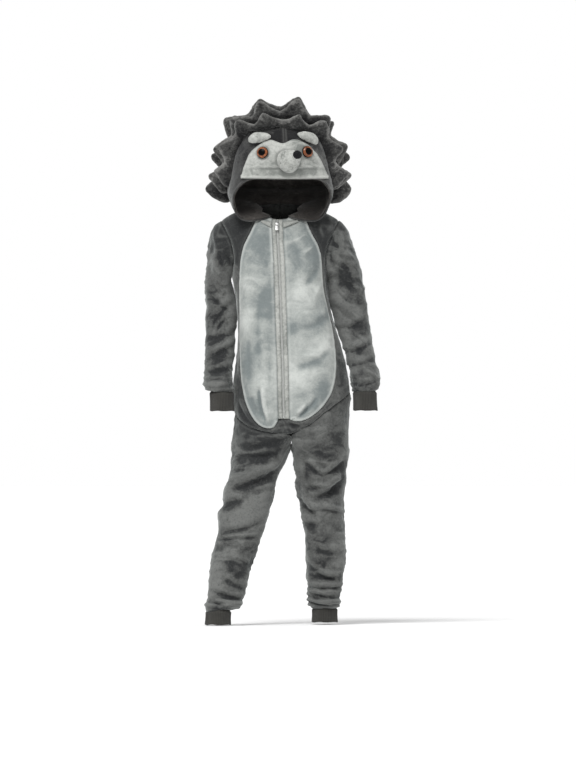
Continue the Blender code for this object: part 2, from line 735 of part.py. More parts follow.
def back_rows(side):
    """Dark back: each row runs from the outer edge to the centre back seam."""
    runs = outer_runs()
    centre_levels = {0.0: NECK_LEVEL, 1.0: 6, 2.0: -122, 3.0: HIP_BACK}
    grid = []
    for run in runs:
        below = min(int(run), 2)
        start, end = centre_levels[float(below)], centre_levels[float(below + 1)]
        centre = start + (end - start) * (run - below)
        outer = back_spot(side, run)
        row = []
        for step in range(BACK_STEPS + 1):
            share = step / BACK_STEPS
            angle = outer[0] + (side * 180 - outer[0]) * share
            level = outer[1] + (centre - outer[1]) * ease(share)
            point, normal = body_point(angle, level), body_normal(angle, level)
            ends = ease(run) * ease((3 - run) * 4) * math.sin(math.pi * share) ** 0.6
            lift = ends * relief(BACK_FOLDS, point.x, point.z)
            step_in = seam_step(side, run, point, normal) if share == 0 else -normal * PLUSH
            row.append((point + normal * lift, step_in))
        grid.append(row)
    return trim(grid, {"first_column", "last_column", "last_row"})


# ------------------------------------------------------------------ sleeves and legs

def ring_point(ring, turn):
    """Point of a limb's ring; turn 0 is the outer side, 90 the front."""
    power = 2 / 2.15
    outer = Vector((ring.outer_x, ring.y_mid, ring.outer_z))
    inner = Vector((ring.inner_x, ring.y_mid, ring.inner_z))
    middle, reach = (outer + inner) / 2, (outer - inner) / 2
    turn = math.radians(turn)
    return (middle + reach * signed_power(math.cos(turn), power)
            + Vector((0, -ring.half_depth * signed_power(math.sin(turn), power), 0)))


def limb_point(rings, loop, turn, place):
    """Point of a limb that starts at a loop on the body and follows its rings."""
    if place >= 1:
        return ring_point(read_rings(rings, place - 1), turn)
    start, end = loop(turn), ring_point(rings[0], turn)
    ahead = ring_point(rings[1], turn)
    slope = (ahead - start) * 0.35
    return spline(end - 2 * slope, start, end, ahead, place)


def limb_spots(rings, loop, side, turns, places, folds):
    """Rows of points and normals down a limb."""
    last = len(rings)
    grid = []
    for place in places:
        row = []
        for turn in turns:
            nudge = 0.05
            low, high = max(place - nudge, 0.02), min(place + nudge, last)
            across = (limb_point(rings, loop, turn + 1, max(place, 0.02))
                      - limb_point(rings, loop, turn - 1, max(place, 0.02)))
            down = limb_point(rings, loop, turn, high) - limb_point(rings, loop, turn, low)
            normal = across.cross(down).normalized() * side
            point = limb_point(rings, loop, turn, place)
            ring = read_rings(rings, max(place - 1, 0))
            girth = math.pi * (ring.half_depth + abs(ring.outer_x - ring.inner_x) / 2)
            fade = ease(place * 1.5) * ease((last - place) * 1.5)
            lift = fade * relief(folds, turn / 360 * girth, point.z, girth)
            row.append((point + normal * lift, normal))
        grid.append(row)
    return grid


def even_places(count, last):
    """Places of the rings of a limb, closer together where it leaves the body."""
    return [last * (step / count) ** 1.12 for step in range(count + 1)]


def sleeve_rows(side):
    """A sleeve as one closed tube from the armhole to the cuff."""
    rings = SLEEVE_RIGHT if side < 0 else SLEEVE_LEFT
    folds = SLEEVE_FOLDS_RIGHT if side < 0 else SLEEVE_FOLDS_LEFT
    middle = armhole_middle(side)
    outward = Vector((side, 0, 0))

    def loop(turn):
        return body_point(*armhole_spot(side, turn % 360)) + outward * SEAM * 0.5

    turns = [360 * step / (2 * ARMHOLE_STEPS) for step in range(2 * ARMHOLE_STEPS + 1)]
    spots = limb_spots(rings, loop, side, turns, even_places(SLEEVE_RINGS, len(rings)), folds)
    grid = []
    for number, row in enumerate(spots):
        steps = [((middle - point).normalized() if number == 0 else -normal) * PLUSH
                 for point, normal in row]
        grid.append([(point, step) for (point, _), step in zip(row, steps)])
    return grid


def crotch_point(share):
    """Point on the crotch seam, from the front (0) to the back (1)."""
    front = body_point(0, hip_level(1, 0))
    back = body_point(180, HIP_BACK)
    point = front.lerp(back, share)
    point.z -= CROTCH_DROP * math.sin(math.pi * share)
    return point


def leg_turns(front):
    """Turns of the columns of a leg's front or back half."""
    hip = [120 * step / HIP_STEPS for step in range(HIP_STEPS + 1)]
    inner = [120 + 60 * step / CROTCH_STEPS for step in range(1, CROTCH_STEPS + 1)]
    turns = hip + inner
    return turns if front else [360 - turn for turn in turns]


def leg_rows(side, front):
    """One half of a leg, from the hip seam and the crotch to the cuff."""
    rings = LEG_RIGHT if side < 0 else LEG_LEFT
    folds = LEG_FOLDS_RIGHT if side < 0 else LEG_FOLDS_LEFT

    def hip_spot(turn):
        if turn <= 120:
            angle = 90 - turn * 0.75
        else:
            angle = 90 + (360 - turn) * 0.75
        return side * angle, hip_level(side, angle)

    def loop(turn):
        turn %= 360
        if 120 < turn < 240:
            return crotch_point((turn - 120) / 120)
        return body_point(*hip_spot(turn))

    def seam_direction(turn):
        turn %= 360
        inward = -body_normal(*hip_spot(min(max(turn, 0), 120) if turn <= 180 else max(turn, 240)))
        if 120 < turn < 240:
            share = ease(min(turn - 120, 240 - turn) / 20)
            return (inward * (1 - share) + Vector((0, 0, 1)) * share).normalized()
        return inward

    turns = leg_turns(front)
    spots = limb_spots(rings, loop, side, turns, even_places(LEG_RINGS, len(rings)), folds)
    grid = []
    for number, row in enumerate(spots):
        new_row = []
        for turn, (point, normal) in zip(turns, row):
            direction = seam_direction(turn) if number == 0 else -normal
            new_row.append((point, direction * PLUSH))
        grid.append(new_row)
    return trim(grid, {"first_row", "first_column", "last_column"})


def make_cuff(cuff):
    """A ribbed cuff: ribs stand out on its outer wall, over a plain inside."""
    top, foot = Vector(cuff.top), Vector(cuff.foot)
    columns = 2 * RIBS
    rows = []
    for share, swell in ((0.0, -1.2), (0.12, 0.4), (1.0, 0.0)):
        row = []
        for step in range(columns + 1):
            turn = 2 * math.pi * step / columns
            rib = RIB_HEIGHT if step % 2 == 0 else 0.0
            outward = Vector((math.cos(turn), math.sin(turn), 0))
            radius = Vector((outward.x * (cuff.half_width + rib + swell),
                             outward.y * (cuff.half_depth + rib + swell), 0))
            centre = top.lerp(foot, share)
            inner = Vector((outward.x * (cuff.half_width - CUFF_WALL),
                            outward.y * (cuff.half_depth - CUFF_WALL), 0))
            row.append((centre + radius, inner - radius))
        rows.append(row)
    cloth(cuff.name, [rows], RIB_KNIT)


# ------------------------------------------------------------------ the hood

def hood_point(angle, level):
    """Point of the hood's smooth surface; its lowest ring is the body's neck."""
    ring = read_table(HOOD, min(max(level, 0), HOOD[-1].level))
    turn = math.radians(angle)
    power = 2 / ring.square
    facing = math.cos(turn)
    depth = ring.front if facing > 0 else ring.back
    point = Vector((ring.half_width * signed_power(math.sin(turn), power),
                    -depth * signed_power(facing, power),
                    ring.z_back + (ring.z_front - ring.z_back) * ((1 + facing) / 2) ** HOOD_DIP))
    if level < 1:
        neck = body_point(angle, NECK_LEVEL) + Vector((0, 0, HOOD_NECK_GAP))
        point = neck.lerp(hood_point(angle, 1), ease(level) * 0.5 + level * 0.5)
        point.z += HOOD_ROLL * math.sin(math.pi * level)
    elif level > 1:
        swing = math.radians(HOOD_TURN) * ease((level - 1) / 3)
        point = Matrix.Rotation(swing, 3, "Z") @ point
    return point


def hood_normal(angle, level):
    """Outward normal of the hood."""
    level = min(max(level, 0.04), HOOD[-1].level - 0.15)
    across = hood_point(angle + 1, level) - hood_point(angle - 1, level)
    upward = hood_point(angle, level + 0.03) - hood_point(angle, level - 0.03)
    return across.cross(upward).normalized()


def hood_front_spot(x, z):
    """Angle and level of the hood's front point that has this x and z."""
    angle, level = 0.0, 5.0
    for _ in range(30):
        point = hood_point(angle, level)
        angle += (x - point.x) * 0.35
        level += (z - point.z) / 45
        angle = min(max(angle, -85), 85)
        level = min(max(level, 3.5), 9.5)
    return angle, level


def hood_grids(side, outer_depth, wall, drawn_back=0.0):
    """The dome over the brim and the skirt below it, as one half of a hood wall."""
    brim_angle = read_table(HOOD_OPENING, BRIM_LEVEL).angle

    def spot(angle, level):
        signed = side * angle
        normal = hood_normal(signed, level)
        if level >= HOOD[-1].level:
            normal = Vector((0, 0, 1))
        point = hood_point(signed, level)
        lift = relief(HOOD_FOLDS, angle, level * 30) * ease(level) * ease((9 - level) / 3)
        lift *= ease((180 - angle) / 20)
        return point + normal * (lift - outer_depth), -normal * wall

    side_shares = [step / HOOD_SIDE_STEPS for step in range(HOOD_SIDE_STEPS + 1)]
    brow_angles = [brim_angle * step / HOOD_BROW_STEPS for step in range(HOOD_BROW_STEPS)]
    dome = []
    for number in range(HOOD_DOME_ROWS + 1):
        level = BRIM_LEVEL + (HOOD[-1].level - BRIM_LEVEL) * number / HOOD_DOME_ROWS
        angles = brow_angles + [brim_angle + (180 - brim_angle) * share for share in side_shares]
        dome.append([spot(angle, level) for angle in angles])
    skirt = []
    for number in range(HOOD_SKIRT_ROWS + 1):
        level = BRIM_LEVEL * (number / HOOD_SKIRT_ROWS)
        start = read_table(HOOD_OPENING, level).angle
        skirt.append([spot(start + (180 - start) * share, level) for share in side_shares])
    for row in dome:
        for column, neighbour in ((0, 1), (len(row) - 1, len(row) - 2)):
            point, step = row[column]
            if (row[neighbour][0] - point).length > 1:
                row[column] = (point + (row[neighbour][0] - point).normalized() * SEAM / 2, step)
    for row in skirt:
        point, step = row[-1]
        row[-1] = (point + (row[-2][0] - point).normalized() * SEAM / 2, step)
        point, step = row[0]
        row[0] = (point + (row[1][0] - point).normalized() * drawn_back, step)
    skirt[-1] = dome[0][HOOD_BROW_STEPS:]
    return dome, skirt


def make_hood():
    """Two halves of plush over two of lining, which meet at the centre seam."""
    for word, side in SIDES:
        cloth("hood_" + word, hood_grids(side, 0, PLUSH), DARK_PLUSH)
        inside = hood_grids(side, PLUSH + SEAM, LINING, drawn_back=1.5)
        cloth("hood_lining_" + word, inside, LINING_KNIT)


def on_hood(x, z, lift):
    """Point at a height above the hood's front, and the normal there."""
    angle, level = hood_front_spot(x, z)
    normal = hood_normal(angle, level)
    return hood_point(angle, level) + normal * lift, normal


def make_face():
    """The light face laid on the hood, from the brim to its two peaks."""
    grid = []
    for number in range(FACE_ROWS + 1):
        share = number / FACE_ROWS
        row = []
        for step in range(FACE_COLUMNS + 1):
            x = FACE[0].x + (FACE[-1].x - FACE[0].x) * step / FACE_COLUMNS
            edge = read_table(FACE, x)
            z = edge.lower + (edge.upper - edge.lower) * share
            point, normal = on_hood(x, z, FACE_GAP + FACE_WALL)
            row.append((point, -normal * FACE_WALL))
        grid.append(row)
    cloth("hood_face", [grid], LIGHT_PLUSH)


def make_pad(pad):
    """A stuffed ear that lies on the hood's brow."""
    middle, normal = on_hood(pad.x, pad.z, pad.lift)
    frame = local_frame(middle, normal, math.radians(pad.tilt))
    bm = bmesh.new()
    bmesh.ops.create_uvsphere(bm, u_segments=12, v_segments=6, radius=1)
    for vert in bm.verts:
        x, y, z = vert.co
        height = pad.height if z > 0 else 2.0
        narrow = 1 - 0.35 * x * math.copysign(1, -pad.x)
        vert.co = (x * pad.half_length, y * pad.half_width * narrow, z * height * 0.8)
        vert.co.z -= (x * pad.half_length) ** 2 / 260
    bmesh.ops.transform(bm, matrix=frame, verts=bm.verts[:])
    finish_object(pad.name, bm, LIGHT_PLUSH)


def local_frame(origin, normal, tilt=0.0):
    """Matrix whose Z is the normal and whose X lies level, turned by a tilt."""
    side = Vector((0, 0, 1)).cross(normal).normalized()
    up = normal.cross(side)
    turned = side * math.cos(tilt) + up * math.sin(tilt)
    third = normal.cross(turned)
    return Matrix.Translation(origin) @ Matrix((turned, third, normal)).transposed().to_4x4()


def make_eye(eye):
    """A domed plastic eye on a flat back."""
    middle, normal = on_hood(eye.x, eye.z, FACE_GAP + FACE_WALL + EYE_SEAT)
    bm = bmesh.new()
    bmesh.ops.create_uvsphere(bm, u_segments=14, v_segments=6, radius=1)
    for vert in bm.verts:
        x, y, z = vert.co
        vert.co = (x * eye.radius, y * eye.radius, z * (eye.dome if z > 0 else 1.2))
    bmesh.ops.transform(bm, matrix=local_frame(middle, normal), verts=bm.verts[:])
    finish_object(eye.name, bm, EYE_PLASTIC)


def make_snout():
    """A stuffed cone with a round end, and the nose on its tip."""
    seat = FACE_GAP + FACE_WALL + SNOUT_SEAT
    root, normal = on_hood(*SNOUT_ROOT, seat)
    axis = (normal * SNOUT_REACH + Vector((SNOUT_SWAY, 0, SNOUT_RISE))).normalized()
    sides, rings = 14, 7
    bm = bmesh.new()
    bmesh.ops.create_cone(bm, segments=sides, radius1=SNOUT_RADIUS, radius2=SNOUT_RADIUS,
                          depth=1, cap_ends=True, cap_tris=True)
    walls = [edge for edge in bm.edges if abs(edge.verts[0].co.z - edge.verts[1].co.z) > 0.5]
    bmesh.ops.subdivide_edges(bm, edges=walls, cuts=rings - 1, use_grid_fill=True)
    for vert in bm.verts:
        share = min(max(vert.co.z + 0.5, 0), 1)
        width = math.sqrt(max(1 - share ** 2.2, 0.06)) * (1 - 0.12 * share)
        vert.co.x *= width
        vert.co.y *= width
        vert.co.z = share * SNOUT_REACH
    frame = local_frame(root, axis)
    foot = [vert for vert in bm.verts if vert.co.z < 0.01]
    bmesh.ops.transform(bm, matrix=frame, verts=bm.verts[:])
    for vert in foot:
        vert.co = on_hood(vert.co.x, vert.co.z, seat)[0]
    finish_object("snout", bm, LIGHT_PLUSH, sharp_degrees=60)
    tip = root + axis * (SNOUT_REACH + NOSE_SEAT + NOSE_RADIUS * NOSE_FLAT)
    bm = bmesh.new()
    bmesh.ops.create_icosphere(bm, subdivisions=2, radius=NOSE_RADIUS)
    bmesh.ops.scale(bm, vec=(1, 0.9, NOSE_FLAT), verts=bm.verts[:])
    bmesh.ops.transform(bm, matrix=local_frame(tip, axis), verts=bm.verts[:])
    finish_object("nose", bm, NOSE_KNIT)


# ------------------------------------------------------------------ spikes

def crossing(beyond, low, high):
    """Value between low and high at which beyond turns from negative to positive, or None."""
    if beyond(low) > 0 or beyond(high) < 0:
        return None
    for _ in range(26):
        middle = (low + high) / 2
        if beyond(middle) < 0:
            low = middle
        else:
            high = middle
    return low


def row_track(row):
    """Points and normals along a spike row, from the right foot over the hood to the left."""

    def beyond(angle, level):
        point = hood_point(angle, level)
        forward = row.brow / 1000 * max(point.z - BROW_Z, 0) ** 2
        return point.y - (row.y + row.lean * (point.z - HOOD_AXIS_Z) - forward)

    spots = []
    for side in (-1, 1):
        for step in range(60):
            level = 1.2 + 8.6 * step / 60
            angle = crossing(lambda angle: beyond(side * angle, level), 1, 179)
            spots.append((side * angle, level) if angle else None)
    for angle in range(-178, 180, 3):
        toward = 1 if abs(angle) < 90 else -1
        level = crossing(lambda level: toward * beyond(angle, level), 4.5, 9.9)
        spots.append((angle, level) if level else None)
    foot_z = HOOD_AXIS_Z + 125 * math.sin(math.radians(row.foot_angle))
    track = [(hood_point(*spot), hood_normal(*spot)) for spot in spots if spot]
    track = [(point, normal) for point, normal in track if point.z > foot_z]
    return sorted(track, key=lambda pair: math.atan2(pair[0].x, pair[0].z - HOOD_AXIS_Z))


def walk(track, count):
    """Evenly spaced stations on a track of points and normals."""
    lengths = [0.0]
    for (start, _), (end, _) in zip(track, track[1:]):
        lengths.append(lengths[-1] + (end - start).length)
    stations = []
    at = 0
    for number in range(count + 1):
        target = lengths[-1] * number / count
        while at < len(track) - 2 and lengths[at + 1] < target:
            at += 1
        share = (target - lengths[at]) / max(lengths[at + 1] - lengths[at], 1e-6)
        point = track[at][0].lerp(track[at + 1][0], share)
        normal = track[at][1].lerp(track[at + 1][1], share).normalized()
        stations.append((point, normal))
    return stations


def make_spike_row(row):
    """A band of stuffed spikes: a flat ring swept along the row, high at each tip."""
    count = row.spikes * SPIKE_STEPS
    stations = walk(row_track(row), count)
    bm = bmesh.new()
    rings = []
    for number, (point, normal) in enumerate(stations):
        phase = number / SPIKE_STEPS
        tip = 1 - abs(2 * (phase - math.floor(phase)) - 1)
        reach = row.valley + (row.height - row.valley) * tip ** 1.35
        before = stations[max(number - 1, 0)][0]
        after = stations[min(number + 1, count)][0]
        along = (after - before).normalized()
        thick_way = along.cross(normal).normalized()
        ends = ease(min(number, count - number) / 2 + 0.25)
        reach *= 0.35 + 0.65 * ends
        half = SPIKE_THICK / 2 * (0.6 + 0.4 * tip) * (0.5 + 0.5 * ends)
        base = point + normal * SPIKE_SEAT
        profile = ((-half, 0.0), (-half * 0.95, reach * 0.45), (-SPIKE_EDGE / 2, reach),
                   (SPIKE_EDGE / 2, reach), (half * 0.95, reach * 0.45), (half, 0.0))
        rings.append([bm.verts.new(base + thick_way * across + normal * up)
                      for across, up in profile])
    for ring, following in zip(rings, rings[1:]):
        edges = []
        for loop in (ring, following):
            for vert, neighbour in zip(loop, loop[1:] + loop[:1]):
                edges.append(bm.edges.get((vert, neighbour)) or bm.edges.new((vert, neighbour)))
        bmesh.ops.bridge_loops(bm, edges=edges)
    for ring in (rings[0], rings[-1]):
        bmesh.ops.contextual_create(bm, geom=ring)
    bmesh.ops.triangulate(bm, faces=[face for face in bm.faces if len(face.verts) > 4])
    finish_object(row.name, bm, DARK_PLUSH)


# ------------------------------------------------------------------ zip hardware

SLIDER_Z = -9.0          # height of the slider's middle
SLIDER_LIFT = 1.1        # from the body's surface to the slider's back
SLIDER_WIDTH, SLIDER_LENGTH, SLIDER_PLATE = 8.4, 12.0, 2.2
BRIDGE_WIDTH, BRIDGE_LENGTH, BRIDGE_RISE, BRIDGE_BAR = 2.2, 8.6, 3.4, 1.2
PULL_THICK, PULL_HALF, PULL_LENGTH = 1.1, 3.9, 17.0
PULL_WINDOW_HALF, PULL_WINDOW_END = 1.9, 5.6
PULL_BAR_HALF = 0.6      # half the depth of the pull's cross bar
PULL_AXIS_RISE = 1.05    # from the plate to the hinge axis


def zip_frame():
    """Matrix at the slider: X to the wearer's right, Y down the zip, Z out of the body."""
    angle, level = body_spot(zip_x(SLIDER_Z), SLIDER_Z)
    point, normal = body_point(angle, level), body_normal(angle, level)
    level_way = Vector((-1, 0, 0))
    outward = (normal - level_way * normal.x).normalized()
    down = outward.cross(level_way)
    origin = point + outward * SLIDER_LIFT
    return Matrix.Translation(origin) @ Matrix((level_way, down, outward)).transposed().to_4x4()


def add_box(bm, low, high):
    """A box between two corners."""
    low, high = Vector(low), Vector(high)
    size = high - low
    matrix = Matrix.Translation((low + high) / 2) @ Matrix.Diagonal((*size, 1))
    return bmesh.ops.create_cube(bm, size=1, matrix=matrix)["verts"]


def side_profile(bm, outline, half_width):
    """Extrude a closed outline of (y, z) across X."""
    verts = [bm.verts.new((-half_width, y, z)) for y, z in outline]
    face = bm.faces.new(verts)
    moved = bmesh.ops.extrude_face_region(bm, geom=[face], use_keep_orig=True)
    ends = [item for item in moved["geom"] if isinstance(item, bmesh.types.BMVert)]
    bmesh.ops.translate(bm, vec=(2 * half_width, 0, 0), verts=ends)


def make_slider(frame):
    """The slider: a plate with a bridge along the zip that holds the pull."""
    plate = bpy.data.meshes.new("slider_plate")
    bm = bmesh.new()
    add_box(bm, (-SLIDER_WIDTH / 2, -SLIDER_LENGTH / 2, 0),
            (SLIDER_WIDTH / 2, SLIDER_LENGTH / 2, SLIDER_PLATE))
    bmesh.ops.bevel(bm, geom=[edge for edge in bm.edges if abs((edge.verts[0].co
                    - edge.verts[1].co).z) > 1], offset=1.6, segments=2, profile=0.5,
                    affect="EDGES", material=-1)
    bmesh.ops.recalc_face_normals(bm, faces=bm.faces[:])
    bm.to_mesh(plate)
    bm.free()
    low, half = SLIDER_PLATE - 0.4, BRIDGE_LENGTH / 2
    top, bar = SLIDER_PLATE + BRIDGE_RISE, BRIDGE_BAR
    arch = [(-half, low), (-half, top - 1), (-half + 1, top), (half - 1, top), (half, top - 1),
            (half, low), (half - bar, low), (half - bar, top - bar), (bar - half, top - bar),
            (bar - half, low)]
    bm = bmesh.new()
    side_profile(bm, arch, BRIDGE_WIDTH / 2)
    bmesh.ops.recalc_face_normals(bm, faces=bm.faces[:])
    bridge_mesh = bpy.data.meshes.new("slider_bridge")
    bm.to_mesh(bridge_mesh)
    bm.free()
    bridge = bpy.data.objects.new("slider_bridge", bridge_mesh)
    bpy.context.collection.objects.link(bridge)
    bridge.hide_render = True
    bridge.display_type = "WIRE"
    body = bpy.data.objects.new("zip_slider", plate)
    bpy.context.collection.objects.link(body)
    plate.materials.append(make_material(SILVER))
    union = body.modifiers.new("bridge", "BOOLEAN")
    union.operation = "UNION"
    union.object = bridge
    placed = Matrix.Scale(MM, 4) @ frame
    body.matrix_world = placed
    bridge.matrix_world = placed


def make_pull(frame):
    """The pull tab: a plate with a window, whose upper bar lies under the bridge."""
    bm = bmesh.new()
    half = PULL_THICK / 2
    rows = ((-PULL_BAR_HALF, PULL_HALF - 0.9), (PULL_BAR_HALF, PULL_HALF - 0.5),
            (PULL_WINDOW_END, PULL_HALF - 0.6), (PULL_WINDOW_END + 3, PULL_HALF),
            (PULL_LENGTH - 2, PULL_HALF), (PULL_LENGTH, PULL_HALF - 1.6))
    inner = PULL_WINDOW_HALF
    grid = [[bm.verts.new((x, y, -half)) for x in (-wide, -inner, inner, wide)]
            for y, wide in rows]
    faces = []
    for number, (upper, lower) in enumerate(zip(grid, grid[1:])):
        for column in range(3):
            if number == 1 and column == 1:
                continue
            corners = [upper[column], upper[column + 1], lower[column + 1], lower[column]]
            faces += bmesh.ops.contextual_create(bm, geom=corners)["faces"]
    moved = bmesh.ops.extrude_face_region(bm, geom=faces, use_keep_orig=True)
    top = [item for item in moved["geom"] if isinstance(item, bmesh.types.BMVert)]
    bmesh.ops.translate(bm, vec=(0, 0, PULL_THICK), verts=top)
    hinge = frame @ Matrix.Translation((0, 0, SLIDER_PLATE + PULL_AXIS_RISE))
    place = hinge.to_translation() * MM
    turn = hinge.to_3x3().to_4x4()
    bmesh.ops.transform(bm, matrix=turn, verts=bm.verts[:])
    pull = finish_object("zip_pull", bm, SILVER)
    pull.location = place


def make_zip():
    """Teeth between two crowned bands, with the slider and its pull."""
    for word, side in SIDES:
        levels = zip_levels(side)
        near, far = side * CHAIN_HALF, side * (CHAIN_HALF + BAND_WIDTH)
        band = strip_rows(levels, near, far, 2, BAND_PUFF, PLUSH)
        cloth("zip_band_" + word, [trim(band, {"first_column", "last_column", "last_row"})],
              LIGHT_PLUSH)
    chain = strip_rows(zip_levels(-1), -CHAIN_HALF, CHAIN_HALF, 1, 0, 2.2)
    for row in chain:
        for number, (point, step) in enumerate(row):
            row[number] = (point + step * 0.3, step)
    cloth("zip_teeth", [trim(chain, {"first_column", "last_column", "last_row"})], ZIP_TEETH)
    frame = zip_frame()
    make_slider(frame)
    make_pull(frame)


COLLAR_SHARE = 0.56      # part of the belly's width that a collar corner spans
COLLAR_TOP, COLLAR_DROP = 0.42, 0.42     # runs at its upper edge and its depth at the zip
COLLAR_WALL = 2.2
COLLAR_SEAT = 0.1        # more room under a collar, whose facets bridge the belly


def make_collar(word, side):
    """A light corner of the neck's facing, turned out beside the zip."""
    columns, rows = 4, 2
    grid = []
    for number in range(rows + 1):
        row = []
        for step in range(columns + 1):
            share = step / columns
            run = COLLAR_TOP + (number / rows) * COLLAR_DROP * (1 - 0.8 * share)
            point, normal = belly_place(side, run, 0.02 + COLLAR_SHARE * share)
            lift = LAID_ON + COLLAR_WALL + COLLAR_SEAT
            row.append((point + normal * lift, -normal * COLLAR_WALL))
        grid.append(row)
    cloth("collar_" + word, [grid], LIGHT_PLUSH)


def make_body():
    """Dark fronts, light belly halves and dark backs."""
    for word, side in SIDES:
        cloth("body_front_" + word, [front_rows(side)], DARK_PLUSH)
        cloth("belly_" + word, [belly_rows(side)], LIGHT_PLUSH)
        cloth("body_back_" + word, [back_rows(side)], DARK_PLUSH)
        make_collar(word, side)


def make_limbs():
    """Sleeves, legs in two halves each, and the ribbed cuffs."""
    for word, side in SIDES:
        cloth("sleeve_" + word, [sleeve_rows(side)], DARK_PLUSH)
        cloth("leg_front_" + word, [leg_rows(side, True)], DARK_PLUSH)
        cloth("leg_back_" + word, [leg_rows(side, False)], DARK_PLUSH)
    for cuff in CUFFS:
        make_cuff(cuff)


def main():
    """Build every piece of the onesie."""
    for old in list(bpy.data.objects):
        bpy.data.objects.remove(old)
    make_body()
    make_limbs()
    make_hood()
    make_face()
    make_snout()
    for pad in EARS:
        make_pad(pad)
    for eye in EYES:
        make_eye(eye)
    for row in SPIKE_ROWS:
        make_spike_row(row)
    make_zip()


main()
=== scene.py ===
"""Looks of a child's hooded hedgehog onesie, as it stands when it is worn.

Every cloth panel starts from the outer skin of its own node, which is subdivided, laid in
folds, sunk along its seams and given its wall again. Stuffed pieces and the nose are their
nodes, rounded off. The cuffs, eyes and zip teeth are modelled here. Sizes are in metres; +Z is
up, the front faces -Y and the wearer's right is -X.
"""
import logging
import math
from dataclasses import dataclass
from enum import Enum
from typing import Callable, Sequence

import bmesh
import bpy
import numpy as np
from mathutils import Matrix, Vector, bvhtree, kdtree, noise


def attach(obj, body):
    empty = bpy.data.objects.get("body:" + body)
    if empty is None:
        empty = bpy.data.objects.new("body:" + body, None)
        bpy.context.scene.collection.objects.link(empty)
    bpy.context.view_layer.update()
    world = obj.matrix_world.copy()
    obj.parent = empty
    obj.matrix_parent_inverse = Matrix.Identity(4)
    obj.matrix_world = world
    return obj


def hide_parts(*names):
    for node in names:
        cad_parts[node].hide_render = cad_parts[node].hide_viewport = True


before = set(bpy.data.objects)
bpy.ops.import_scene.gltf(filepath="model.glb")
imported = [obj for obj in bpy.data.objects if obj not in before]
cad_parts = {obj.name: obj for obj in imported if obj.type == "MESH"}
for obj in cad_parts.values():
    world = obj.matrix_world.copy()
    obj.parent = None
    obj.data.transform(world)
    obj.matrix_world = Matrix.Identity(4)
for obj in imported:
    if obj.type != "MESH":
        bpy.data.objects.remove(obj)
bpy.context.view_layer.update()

log = logging.getLogger("onesie")
MM = 0.001
GARMENT = "garment"
PULL_TAB = "pull_tab"


# ------------------------------------------------------------------ shader graphs

class Wire:
    """A socket that does arithmetic by adding Math nodes."""

    def __init__(self, graph: "Graph", socket: bpy.types.NodeSocket) -> None:
        """Keep the graph and the socket."""
        self.graph = graph
        self.socket = socket

    def _math(self, operation: str, *values: object) -> "Wire":
        """Add a Math node of an operation on up to three values."""
        return self.graph.add("ShaderNodeMath", {"operation": operation}, *values)

    def __add__(self, other: object) -> "Wire":
        """Return the sum."""
        return self._math("ADD", self, other)

    __radd__ = __add__

    def __sub__(self, other: object) -> "Wire":
        """Return the difference."""
        return self._math("SUBTRACT", self, other)

    def __rsub__(self, other: object) -> "Wire":
        """Return the difference the other way round."""
        return self._math("SUBTRACT", other, self)

    def __mul__(self, other: object) -> "Wire":
        """Return the product."""
        return self._math("MULTIPLY", self, other)

    __rmul__ = __mul__

    def sine(self) -> "Wire":
        """Return the sine."""
        return self._math("SINE", self)

    def step(self, low: float, high: float) -> "Wire":
        """Rise smoothly from 0 at low to 1 at high."""
        if low > high:
            return 1 - self.step(high, low)
        settings = {"interpolation_type": "SMOOTHSTEP"}
        return self.graph.add("ShaderNodeMapRange", settings, self, low, high, 0.0, 1.0)

    def clamp(self) -> "Wire":
        """Keep the value between 0 and 1."""
        return self.graph.add("ShaderNodeClamp", {}, self, 0.0, 1.0)


